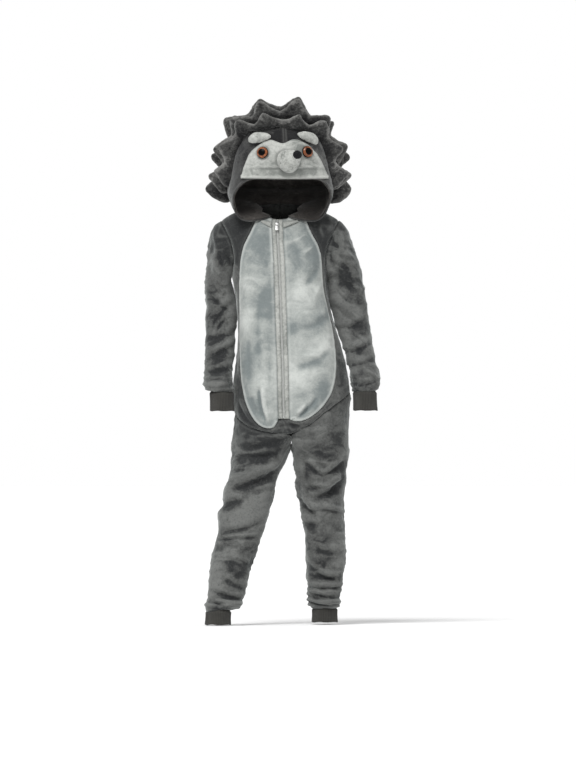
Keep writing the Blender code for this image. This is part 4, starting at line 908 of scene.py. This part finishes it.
def subdivided(bm: bmesh.types.BMesh, name: str, levels: int) -> bpy.types.Mesh:
    """Round a bmesh off by subdivision, free it, and return the new mesh."""
    coarse = new_mesh(bm, name)
    carrier = new_object(name, coarse)
    rounding = carrier.modifiers.new("rounding", "SUBSURF")
    rounding.levels = rounding.render_levels = levels
    rounding.boundary_smooth = "PRESERVE_CORNERS"
    depsgraph = bpy.context.evaluated_depsgraph_get()
    fine = bpy.data.meshes.new_from_object(carrier.evaluated_get(depsgraph))
    bpy.data.objects.remove(carrier)
    bpy.data.meshes.remove(coarse)
    fine.name = name
    return fine


def mesh_arrays(mesh: bpy.types.Mesh) -> tuple[np.ndarray, np.ndarray]:
    """Return the places and the normals of a mesh's vertices."""
    count = len(mesh.vertices)
    points = np.empty(count * 3)
    normals = np.empty(count * 3)
    mesh.vertices.foreach_get("co", points)
    mesh.vertex_normals.foreach_get("vector", normals)
    return points.reshape(-1, 3), normals.reshape(-1, 3)


def set_points(mesh: bpy.types.Mesh, points: np.ndarray, **values: np.ndarray) -> None:
    """Move a mesh's vertices to new places and keep numbers for them as attributes.

    Args:
        mesh: The mesh.
        points: A place for each vertex.
        values: A number for each vertex, or one for all, by the attribute's name.
    """
    mesh.vertices.foreach_set("co", points.ravel())
    for name, numbers in values.items():
        layer = mesh.attributes.new(name, "FLOAT", "POINT")
        filled = np.broadcast_to(numbers, len(points)).astype(np.float32)
        layer.data.foreach_set("value", filled)
    mesh.update()


def place_object(name: str, mesh: bpy.types.Mesh, finish: Finish, body: str,
                 replaces: Sequence[str] = (), smooth: bool = True) -> bpy.types.Object:
    """Make the object of a finished mesh, attach it to its body and hide the nodes that it stands
    for.

    Args:
        name: Name of the piece.
        mesh: Its mesh, in place.
        finish: Its finish.
        body: Body that it rides on.
        replaces: Nodes that it stands for.
        smooth: Whether its faces are shaded smooth.

    Returns:
        The object.
    """
    mesh.name = name
    mesh.materials.append(FINISHES.get(finish))
    mesh.polygons.foreach_set("use_smooth", [smooth] * len(mesh.polygons))
    piece = new_object(name, mesh)
    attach(piece, body)
    if replaces:
        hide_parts(*replaces)
    log.info("%s: %d faces", name, len(mesh.polygons))
    return piece


def add_wall(piece: bpy.types.Object, thickness: float) -> None:
    """Give a sheet its thickness, inwards from its outer face."""
    wall = piece.modifiers.new("wall", "SOLIDIFY")
    wall.thickness = thickness
    wall.offset = -1.0


def nowhere(point: Vector) -> bool:
    """Tell that a place doesn't count."""
    return False


@dataclass
class Panel:
    """A cut piece of cloth that is sewn to its neighbours round its edge."""

    node: str
    finish: Finish
    slot: str
    cut: tuple[float, float]
    area: float
    wall: float = 0.003
    levels: int = 3
    folds: Sequence[Fold] = ()
    sink: float = 0.0018            # how deep a seam draws the cloth in
    sink_reach: float = 0.009
    pucker: float = 0.0007          # depth of the small ripples along a seam
    drawn_in: float = 0.0           # of the whole panel
    spread: float = 0.0009          # how far a sewn edge reaches over the gap beside it
    rim: float = 0.0                # height of the welt along rim_edge
    rim_edge: Callable[[Vector], bool] = nowhere
    # lighter and darker spots; on the face and the brow they are painted light and shade
    nap: Sequence[LightDarkSpot] = ()
    kept: float = 0.15              # share of a fold's depth that is left at a seam
    painted_shade_round: Sequence[str] = ()  # nodes round which painted shade darkens the panel
    joined_to: Sequence[str] = ()   # nodes to which a sewn edge is drawn
    join_reach: float = 0.009
    free_edge: Callable[[Vector], bool] = nowhere
    rests_on: Sequence[str] = ()

    def edge_steps(self, mesh: bpy.types.Mesh) -> dict[int, Vector]:
        """Return the way out of the cloth, in its plane, at each vertex of its edge."""
        bm = bmesh.new()
        bm.from_mesh(mesh)
        steps: dict[int, Vector] = {}
        for vert in bm.verts:
            rims = [edge for edge in vert.link_edges if edge.is_boundary]
            if len(rims) != 2:
                continue
            tangent = (rims[0].other_vert(vert).co - rims[1].other_vert(vert).co).normalized()
            inside = sum((face.calc_center_median() for face in vert.link_faces), Vector())
            away = vert.co - inside / len(vert.link_faces)
            steps[vert.index] = (away - tangent * away.dot(tangent)).normalized()
        bm.free()
        return steps

    def join(self, points: np.ndarray, edge: np.ndarray) -> None:
        """Draw the edge down to the pieces that it is sewn to, where they are near."""
        gaps, spots = nearest_on_nodes(points[edge], self.joined_to)
        near = gaps < self.join_reach
        points[edge[near]] = spots[near]

    def build(self) -> bpy.types.Object:
        """Return the finished panel."""
        mesh = subdivided(outer_skin(self.node, self.wall), self.node, self.levels)
        points, normals = mesh_arrays(mesh)
        steps = self.edge_steps(mesh)
        edge = {index: Vector(points[index]) for index in steps}
        sewn = [index for index, point in edge.items() if not self.free_edge(point)]
        seam = nearest_distances(points, [edge[index] for index in sewn])
        lift = np.full(len(points), -self.drawn_in)
        for fold in self.folds:
            lift += fold.lift(points, normals)
        lift *= self.kept + (1 - self.kept) * np.clip(seam / CALM_AT_SEAM, 0, 1)
        # The lift becomes painted shade in the folds' valleys and a painted highlight on their
        # ridges.
        shade = lift / FULL_SHADE
        # Painted shade darkens the panel round the pieces laid on it.
        if self.painted_shade_round:
            near = nearest_on_nodes(points, self.painted_shade_round)[0] / PAINTED_SHADE_REACH
            shade -= np.clip(1 - near, 0, 1) * 1.3
        lift -= self.sink * np.clip(1 - seam / self.sink_reach, 0, 1) ** 2
        # The welt is raised along the rim, and its welt attribute paints a highlight along it.
        welt = np.zeros(len(points))
        if self.rim:
            marks = [point for point in edge.values() if self.rim_edge(point)]
            welt = np.exp(-((nearest_distances(points, marks) - WELT_INSET) / WELT_WIDTH) ** 2)
            lift += welt * self.rim
        if self.pucker:
            ripple = noise_at(points, lambda point: point * RIPPLE_SCALE)
            lift += ripple * self.pucker * np.exp(-seam / RIPPLE_REACH)
        points += normals * lift[:, None]
        for index in sewn:
            points[index] += np.array(steps[index]) * self.spread
        if self.joined_to:
            self.join(points, np.array(sewn))
        nap = sum((spot.shade(points) for spot in self.nap), np.zeros(len(points)))
        set_points(mesh, points, fold=np.clip(shade, -1, 1), nap=nap, seam=seam, welt=welt)
        piece = place_object(self.node + "_cloth", mesh, self.finish, GARMENT,
                             [self.node])
        add_wall(piece, self.wall)
        return piece


# ------------------------------------------------------------------ body, hood and face

PANEL_CUTS = {
    "body_back": ((0.24, 0.52), 0.0833),
    "sleeve": ((0.27, 0.42), 0.0865),
    "leg_front": ((0.22, 0.50), 0.0789),
    "leg_back": ((0.22, 0.50), 0.0798),
    "belly": ((0.16, 0.46), 0.0504),
    "body_front": ((0.16, 0.50), 0.0295),
}
SIDES = ("right", "left")
ZIP_LINE = ((-0.500, -0.470, -0.352, -0.230), (0.020, 0.010, 0.007, 0.003))
NECK_PIECES = tuple(f"{kind}_{side}" for kind in ("body_back", "body_front", "collar")
                    for side in SIDES)


@dataclass
class Body:
    """The plush body: back, front, belly, sleeves and legs, left and right."""

    front_welt_from: float = 0.018

    def build(self) -> None:
        """Build every panel of the body."""
        for side in SIDES:
            lean = 1.0 if side == "right" else -1.0
            leg = (*LEG_FOLDS[side], Wrinkles(0.085, 0.030, 0.25 * lean, 0.0044, 1.3),
                   Wrinkles(0.060, 0.014, 0.10 * lean, 0.0022, 7.7), LEG_BUNCHES[side],
                   Puff(-897, 9, 4.5))
            folds = {
                "body_back": (*BACK_CREASES, PLAIN_UNREST,
                              Wrinkles(0.11, 0.036, 0.2 * lean, 0.0036, 2.2)),
                "body_front": (*FRONT_CREASES, PLAIN_UNREST,
                               Wrinkles(0.07, 0.028, 1.0 * lean, 0.0028, 8.1)),
                "belly": (*BELLY_CREASES, SOFT_UNREST,
                          Wrinkles(0.09, 0.040, -0.6 * lean, 0.0022, 6.4)),
                "sleeve": (*SLEEVE_FOLDS[side], Wrinkles(0.075, 0.026, 0.45 * lean, 0.0040, 4.7),
                           Wrinkles(0.050, 0.013, 0.20 * lean, 0.0024, 2.9),
                           Bunch(-399, 34, 15, 1.6), Puff(-388, 9, 3.0)),
                "leg_front": leg,
                "leg_back": leg,
            }
            for kind, lifts in folds.items():
                self.panel(kind, side, lifts)

    def panel(self, kind: str, side: str, folds: Sequence[Fold]) -> None:
        """Build one panel of a kind on one side."""
        cut, area = PANEL_CUTS[kind]
        node = f"{kind}_{side}"
        if kind == "belly":
            Panel(node, LIGHT_PLUSH, "light_grey_plush", cut, area, folds=folds, nap=BELLY_SPOTS,
                  sink=0.0004, rim=0.0016, rim_edge=self.beside_front).build()
        else:
            Panel(node, DARK_PLUSH, "dark_grey_plush", cut, area, folds=folds, nap=BODY_SPOTS,
                  kept=0.15 if kind.startswith("body") else 0.9).build()

    def beside_front(self, point: Vector) -> bool:
        """Tell whether a place on the belly's edge is away from the zip."""
        line = np.interp(point.z, *ZIP_LINE)
        return abs(point.x - float(line)) > self.front_welt_from


@dataclass
class Hood:
    """The hood's plush halves, their lining, and the light face on its brow."""

    lining_wall: float = 0.0016
    face_wall: float = 0.0024
    opening_y: float = -0.045
    brim_level: float = 0.103

    def build(self) -> None:
        """Build both halves, both linings and the face."""
        for side in SIDES:
            Panel("hood_" + side, HOOD_PLUSH, "dark_grey_plush", (0.24, 0.46), 0.0891,
                  folds=(HOOD_UNREST,), free_edge=self.at_opening, rim=0.0015,
                  rim_edge=self.at_opening, nap=HOOD_SPOTS, joined_to=NECK_PIECES).build()
            Panel("hood_lining_" + side, LINING_KNIT, "charcoal_lining", (0.24, 0.45), 0.0849,
                  self.lining_wall, levels=2, free_edge=self.at_opening, sink=0.0,
                  drawn_in=0.0006, pucker=0.0, spread=0.0100).build()
        Panel("hood_face", FACE_PLUSH, "light_grey_plush", (0.20, 0.11), 0.0159, self.face_wall,
              folds=(CALM_UNREST, *FACE_CREASES), sink=0.0010, pucker=0.0012, kept=1.0, rim=0.0022,
              rim_edge=self.at_brim, nap=FACE_PAINTED_LIGHT_AND_SHADE, painted_shade_round=("snout", "eye_left", "eye_right"),
              rests_on=("hood_right_cloth",)).build()

    def at_opening(self, point: Vector) -> bool:
        """Tell whether a place on an edge belongs to the face opening."""
        return point.y < self.opening_y

    def at_brim(self, point: Vector) -> bool:
        """Tell whether a place on the face's edge is at its brim."""
        return point.z < self.brim_level


@dataclass
class Stuffed:
    """A padded piece that starts from the closed form of its own node."""

    node: str
    finish: Finish
    slot: str
    fill: float
    levels: int = 3
    nap: float = 0.0
    unrest: Unrest = SOFT_UNREST
    grounds: Sequence[str] = ("hood_left", "hood_right")
    painted_shade_height: float = 0.012         # height over the ground up to which painted shade darkens the piece
    seat: float = 0.0           # height up to which the foot is pulled into the ground
    plump: float = 0.0          # how far the stuffing rounds it out
    flatness: float = 50.0
    # reaches of the painted highlight along the stitched crest
    crest_highlight_reach: float = 0.012
    crest_highlight_width: float = 0.007

    def build(self) -> bpy.types.Object:
        """Return the finished piece."""
        bm = merged_copy(self.node)
        join_quads(bm, self.flatness)
        crest = self.crest_marks(bm)
        mesh = subdivided(bm, self.node, self.levels)
        points, normals = mesh_arrays(mesh)
        points += normals * (self.unrest.lift(points, normals) + self.plump)[:, None]
        near = nearest_distances(points, crest)
        points += self.flop(points, near)
        over, under = nearest_on_nodes(points, self.grounds)
        if self.seat:
            points += (under - points) * np.clip(1.7 - over / self.seat, 0, 1)[:, None]
        # Painted shade darkens the piece near the ground that it is sewn to.
        shade = np.clip(over / self.painted_shade_height - 1, -1, 0)
        # A painted highlight lightens the stitched crest.
        shade += np.clip(0.8 - near / self.crest_highlight_reach, 0, 0.8)
        welt = np.clip(1 - near / self.crest_highlight_width, 0, 1)
        set_points(mesh, points, fold=shade, nap=self.nap, seam=1.0, welt=welt)
        piece = place_object(self.node + "_pad", mesh, self.finish, GARMENT,
                             [self.node])
        return piece

    def crest_marks(self, bm: bmesh.types.BMesh) -> list[Vector]:
        """Return marks along the stitched edge of the form, if it has one."""
        return []

    def flop(self, points: np.ndarray, near: np.ndarray) -> np.ndarray:
        """Return how far each point leans over; a form without a stitched edge doesn't."""
        return np.zeros_like(points)


@dataclass
class SpikeRow(Stuffed):
    """A row of stuffed spikes; the two halves are sewn along the crest."""

    edge: float = 0.004
    marks: int = 6
    flop_reach: float = 0.034
    flop_scale: float = 17.0
    flop_depths: tuple[float, float, float] = (0.010, 0.016, 0.010)

    def crest_marks(self, bm: bmesh.types.BMesh) -> list[Vector]:
        """Return marks spaced along the narrow crest."""
        short = [edge for edge in bm.edges if abs(edge.calc_length() - self.edge) < 0.00006]
        middles = [(edge.verts[0].co + edge.verts[1].co) / 2 for edge in short]
        found = list(middles)
        for middle in middles:
            for other in sorted(middles, key=lambda spot: (spot - middle).length)[1:3]:
                found += [middle.lerp(other, step / self.marks) for step in range(1, self.marks)]
        return found

    def flop(self, points: np.ndarray, near: np.ndarray) -> np.ndarray:
        """Return how far each point leans over, most near the stitched edge."""
        share = np.clip(1 - near / self.flop_reach, 0, 1)[:, None] ** 1.3
        lean = [noise_at(points, lambda point: point * self.flop_scale + Vector((shift, 0, shift)))
                for shift in (2.0, 31.0, 57.0)]
        return np.array(lean).T * np.array(self.flop_depths) * share


@dataclass
class Eye:
    """A domed eye: a dark rim, an amber iris and a wide pupil."""

    node: str
    radius: float = 0.014
    segments: int = 48
    rings: int = 24
    pupil: float = 0.64
    iris: float = 0.92
    foot: float = 0.0012

    def frame(self) -> tuple[Matrix, float]:
        """Return the eye's place, with Z along its axis, and its height over the face."""
        bm = merged_copy(self.node)
        points = np.array([vert.co for vert in bm.verts])
        bm.free()
        middle = points.mean(axis=0)
        axis = Vector(np.linalg.svd(points - middle)[2][2])
        if axis.y > 0:
            axis = -axis
        heights = (points - middle) @ np.array(axis)
        side = Vector((0, 0, 1)).cross(axis).normalized()
        turn = Matrix((side, axis.cross(side), axis)).transposed().to_4x4()
        foot = Vector(middle) + axis * float(heights.min() + self.foot)
        return Matrix.Translation(foot) @ turn, float(np.ptp(heights)) - self.foot

    def build(self) -> bpy.types.Object:
        """Return the finished eye."""
        place, dome = self.frame()
        bm = bmesh.new()
        bmesh.ops.create_uvsphere(bm, u_segments=self.segments, v_segments=self.rings, radius=1)
        for face in bm.faces:
            middle = face.calc_center_median()
            spread = math.hypot(middle.x, middle.y)
            if middle.z > 0:
                face.material_index = 2 if spread < self.pupil else 1 if spread < self.iris else 0
        for vert in bm.verts:
            vert.co.z *= dome if vert.co.z > 0 else self.foot
            vert.co.x *= self.radius
            vert.co.y *= self.radius
        bmesh.ops.transform(bm, matrix=place, verts=bm.verts[:])
        mesh = new_mesh(bm, self.node)
        piece = place_object(self.node + "_dome", mesh, PUPIL, GARMENT,
                             [self.node])
        for finish in (IRIS, PUPIL):
            mesh.materials.append(FINISHES.get(finish))
        return piece


@dataclass
class Nose:
    """A round nose of curled pile."""

    node: str = "nose"
    bumps: float = 0.0007
    curls: float = 420.0

    def build(self) -> bpy.types.Object:
        """Return the finished nose."""
        mesh = subdivided(merged_copy(self.node), self.node, 3)
        points, normals = mesh_arrays(mesh)
        curls = noise_at(points, lambda point: point * self.curls)
        set_points(mesh, points + normals * (curls * self.bumps)[:, None])
        piece = place_object("nose_pad", mesh, NOSE_PILE, GARMENT, [self.node])
        return piece


class Face:
    """Ears, eyes, snout and nose on the hood's brow."""

    def build(self) -> None:
        """Build all of them."""
        for side in SIDES:
            Stuffed("ear_" + side, TRIM_PLUSH, "light_grey_plush", 0.4, nap=0.5, unrest=EAR_UNREST,
                    painted_shade_height=0.006, plump=0.0022).build()
            Eye("eye_" + side).build()
        Stuffed("snout", TRIM_PLUSH, "light_grey_plush", 0.9, nap=0.25, unrest=CALM_UNREST,
                grounds=("hood_face",), painted_shade_height=0.011).build()
        Nose().build()


@dataclass
class Spikes:
    """The rows of spikes over the crown and down the back."""

    rows: int = 5

    def build(self) -> None:
        """Build each row."""
        for number in range(1, self.rows + 1):
            SpikeRow(f"spike_row_{number}", SPIKE_PLUSH, "dark_grey_plush", 0.7,
                     unrest=SPIKE_UNREST, painted_shade_height=0.016, seat=0.0055).build()


# ------------------------------------------------------------------ cuffs

@dataclass
class Cuff:
    """A ribbed knit tube round one wrist or ankle."""

    node: str
    top: tuple[float, float, float]
    foot: tuple[float, float, float]
    radius: float
    wall: float = 0.0024
    ribs: int = 52
    columns: int = 4            # of faces for each rib
    rows: int = 14
    rib_height: float = 0.00055
    wave: float = 0.0005        # of the free edge
    tuck: float = 0.20          # share of the length that narrows into the limb
    tucked_in: float = 0.0040
    hidden: float = 0.006       # length inside the limb
    waist: float = 0.0009
    ease: float = 0.0004

    def build(self) -> bpy.types.Object:
        """Return the finished cuff."""
        bm = bmesh.new()
        segments = self.ribs * self.columns
        bmesh.ops.create_cone(bm, segments=segments, radius1=1, radius2=1, depth=1, cap_ends=False,
                              calc_uvs=True)
        walls = [edge for edge in bm.edges if abs(edge.verts[0].co.z - edge.verts[1].co.z) > 0.5]
        bmesh.ops.subdivide_edges(bm, edges=walls, cuts=self.rows, use_grid_fill=True)
        foot = Vector(self.foot)
        top = Vector(self.top) + (Vector(self.top) - foot).normalized() * self.hidden
        layer = bm.loops.layers.uv.verify()
        for face in bm.faces:
            spots = [loop.vert.co for loop in face.loops]
            turns = [math.atan2(spot.y, spot.x) / math.tau for spot in spots]
            wraps = max(turns) - min(turns) > 0.5
            for loop, turn in zip(face.loops, turns):
                around = turn + 1 if wraps and turn < 0 else turn
                loop[layer].uv = (around, 0.5 - loop.vert.co.z)
        for vert in bm.verts:
            angle = math.atan2(vert.co.y, vert.co.x)
            share = 0.5 - vert.co.z
            rib = self.rib_height * math.cos(angle * self.ribs)
            edge = max(0.0, (share - 0.75) / 0.25) ** 2
            ripple = math.sin(angle * 7 + 1.1) + 0.6 * math.sin(angle * 13 + 4.0)
            tucked = self.tucked_in * min(1.0, max(0.0, 1.6 - 1.6 * share / self.tuck))
            waist = self.waist * math.sin(math.pi * min(1.0, share * 1.05))
            radius = (self.radius + rib + self.wave * edge * ripple - tucked - waist + self.ease)
            centre = top.lerp(foot, share)
            drop = -self.wave * edge * math.sin(angle * 5 + 2.0)
            vert.co = centre + Vector((radius * math.cos(angle), radius * math.sin(angle), drop))
        bmesh.ops.recalc_face_normals(bm, faces=bm.faces[:])
        piece = place_object(self.node + "_knit", new_mesh(bm, self.node), RIB_KNIT, GARMENT,
                             [self.node])
        add_wall(piece, self.wall)
        return piece


class Cuffs:
    """The four ribbed cuffs."""

    def build(self) -> None:
        """Build each cuff."""
        for node, top, foot, radius in (
                ("wrist_cuff_right", (-0.1365, -0.053, -0.3992), (-0.135, -0.060, -0.444), 0.028),
                ("wrist_cuff_left", (0.1985, -0.043, -0.3988), (0.200, -0.048, -0.443), 0.028),
                ("ankle_cuff_right", (-0.1435, -0.105, -0.9138), (-0.145, -0.107, -0.943), 0.030),
                ("ankle_cuff_left", (0.105, 0.006, -0.9088), (0.105, 0.006, -0.939), 0.030)):
            Cuff(node, top, foot, radius).build()


# ------------------------------------------------------------------ front closure

@dataclass
class Closure:
    """The zip: two plush bands, the teeth, the slider, its pull, and the collar over them."""

    pitch: float = 0.0026
    tooth: tuple[float, float, float] = (0.0031, 0.0015, 0.0017)
    collar_wall: float = 0.0022
    row_height: float = 0.0030
    stagger: float = 0.0010
    sunk: float = 0.0004
    rounding: float = 0.00035

    def build(self) -> None:
        """Build every piece of the closure."""
        for side in SIDES:
            Panel("zip_band_" + side, FACE_PLUSH, "light_grey_plush", (0.0125, 0.45), 0.0052,
                  levels=2, sink=0.0005, sink_reach=0.003, pucker=0.0003).build()
            Panel("collar_" + side, FACE_PLUSH, "light_grey_plush", (0.026, 0.0145), 0.00032,
                  self.collar_wall, sink=0.0, pucker=0.0).build()
        self.teeth()
        self.metal("zip_slider", GARMENT)
        self.metal("zip_pull", PULL_TAB)

    def track(self) -> list[tuple[Vector, Vector]]:
        """Return places down the middle of the teeth, and the outward directions there."""
        bm = merged_copy("zip_teeth")
        rows: list[list[Vector]] = []
        for vert in sorted(bm.verts, key=lambda found: -found.co.z):
            if rows and abs(rows[-1][0].z - vert.co.z) < self.row_height:
                rows[-1].append(vert.co.copy())
            else:
                rows.append([vert.co.copy()])
        bm.free()
        found = []
        for row in rows:
            row.sort(key=lambda spot: spot.y)
            front, back = row[:len(row) // 2], row[len(row) // 2:]
            outer = sum(front, Vector()) / len(front)
            inner = sum(back, Vector()) / len(back)
            found.append((outer, (outer - inner).normalized()))
        return found

    def teeth(self) -> None:
        """Set small teeth from both sides down the whole track."""
        track = self.track()
        runs = [0.0]
        for (start, _), (end, _) in zip(track, track[1:]):
            runs.append(runs[-1] + (end - start).length)
        bm = bmesh.new()
        count = int(runs[-1] / self.pitch * 2)
        for number in range(count):
            run = (number + 0.5) * self.pitch / 2
            step = max(i for i, value in enumerate(runs) if value <= run)
            share = (run - runs[step]) / max(runs[step + 1] - runs[step], 1e-6)
            spot = track[step][0].lerp(track[step + 1][0], share)
            out = track[step][1].lerp(track[step + 1][1], share).normalized()
            down = (track[step + 1][0] - track[step][0]).normalized()
            side = down.cross(out).normalized() * (1 if number % 2 else -1)
            cube = bmesh.ops.create_cube(bm, size=1)["verts"]
            bmesh.ops.scale(bm, vec=self.tooth, verts=cube)
            place = Matrix((side, down, out)).transposed().to_4x4()
            place.translation = spot + side * self.stagger - out * self.sunk
            bmesh.ops.transform(bm, matrix=place, verts=cube)
        bmesh.ops.bevel(bm, geom=bm.edges[:], offset=self.rounding, segments=1, profile=0.5,
                        affect="EDGES", material=-1)
        bmesh.ops.recalc_face_normals(bm, faces=bm.faces[:])
        place_object("zip_teeth_row", new_mesh(bm, "teeth"), TEETH_NYLON, GARMENT)
        tape = subdivided(merged_copy("zip_teeth"), "tape", 0)
        points, normals = mesh_arrays(tape)
        set_points(tape, points - normals * self.sunk)
        place_object("zip_tape", tape, TAPE_KNIT, GARMENT, ["zip_teeth"],
                     smooth=False)

    def metal(self, node: str, body: str) -> None:
        """Round the edges of a metal part."""
        mesh = new_mesh(merged_copy(node), node)
        piece = place_object(node + "_metal", mesh, PULL_METAL, body, [node])
        edge = piece.modifiers.new("edge", "BEVEL")
        edge.width = self.rounding
        edge.segments = 2
        edge.limit_method = "ANGLE"
        edge.angle_limit = math.radians(35)


# ------------------------------------------------------------------ studio

@dataclass
class Studio:
    """A pale floor, soft lights and the camera."""

    floor_level: float = -0.9452
    floor_half: float = 40.0
    floor_tones: tuple[float, float] = (0.95, 0.97)
    sky_strength: float = 0.5
    distance: float = 30.0
    lens_for_one_metre: float = 20.0
    middle_x: float = 0.019
    middle_z: float = -0.381

    def build(self) -> None:
        """Build the floor, the lights, the sky and the camera."""
        self.floor()
        self.sky()
        self.sun("key", (-0.40, -1.0, 1.35), 2.5, 26.0)
        self.sun("rim", (0.9, 0.8, 0.9), 0.5, 40.0)
        self.camera()

    def floor(self) -> None:
        """Lay the floor."""
        bm = bmesh.new()
        bmesh.ops.create_grid(bm, x_segments=2, y_segments=2, size=self.floor_half)
        bmesh.ops.translate(bm, vec=(0, 0, self.floor_level), verts=bm.verts[:])
        mesh = new_mesh(bm, "floor")
        graph = Graph("floor_white")
        tones = [(tone, tone, tone) for tone in self.floor_tones]
        color = graph.mix(graph.noise(graph.place(), 3.0), *tones)
        mesh.materials.append(graph.finish({"Base Color": color}, Roughness=0.9))
        floor = new_object("floor", mesh)

    def sky(self) -> None:
        """Light the scene evenly from all round."""
        world = bpy.data.worlds.new("studio")
        bpy.context.scene.world = world
        world.use_nodes = True
        tree = world.node_tree
        soft = tree.nodes["Background"]
        bright = tree.nodes.new("ShaderNodeBackground")
        for shader in (soft, bright):
            shader.inputs["Color"].default_value = (1.0, 1.0, 1.0, 1.0)
        soft.inputs["Strength"].default_value = self.sky_strength
        share = tree.nodes.new("ShaderNodeMixShader")
        path = tree.nodes.new("ShaderNodeLightPath")
        tree.links.new(path.outputs["Is Camera Ray"], share.inputs["Fac"])
        tree.links.new(soft.outputs["Background"], share.inputs[1])
        tree.links.new(bright.outputs["Background"], share.inputs[2])
        tree.links.new(share.outputs["Shader"], tree.nodes["World Output"].inputs["Surface"])

    def sun(self, name: str, towards: Sequence[float], strength: float, spread: float) -> None:
        """Hang one wide, soft sun that shines from a direction."""
        lamp = bpy.data.lights.new(name, "SUN")
        lamp.energy = strength
        lamp.angle = math.radians(spread)
        holder = new_object(name, lamp)
        holder.rotation_euler = Vector(towards).to_track_quat("Z", "Y").to_euler()

    def camera(self) -> None:
        """Set the camera level with the garment's middle."""
        data = bpy.data.cameras.new("camera")
        data.sensor_width = 36.0
        data.lens = self.lens_for_one_metre * self.distance
        holder = new_object("camera", data)
        holder.location = (self.middle_x, -self.distance, self.middle_z)
        holder.rotation_euler = (math.radians(90), 0, 0)
        bpy.context.scene.camera = holder
        bpy.context.scene.view_settings.view_transform = "Standard"


def main() -> None:
    """Build the garment and its studio, and log how many faces each piece has."""
    logging.basicConfig(level=logging.INFO, format="%(message)s")
    for part in (Body(), Hood(), Face(), Spikes(), Cuffs(), Closure(), Studio()):
        log.info("building: %s", type(part).__name__)
        part.build()


if __name__ == "__main__":
    main()
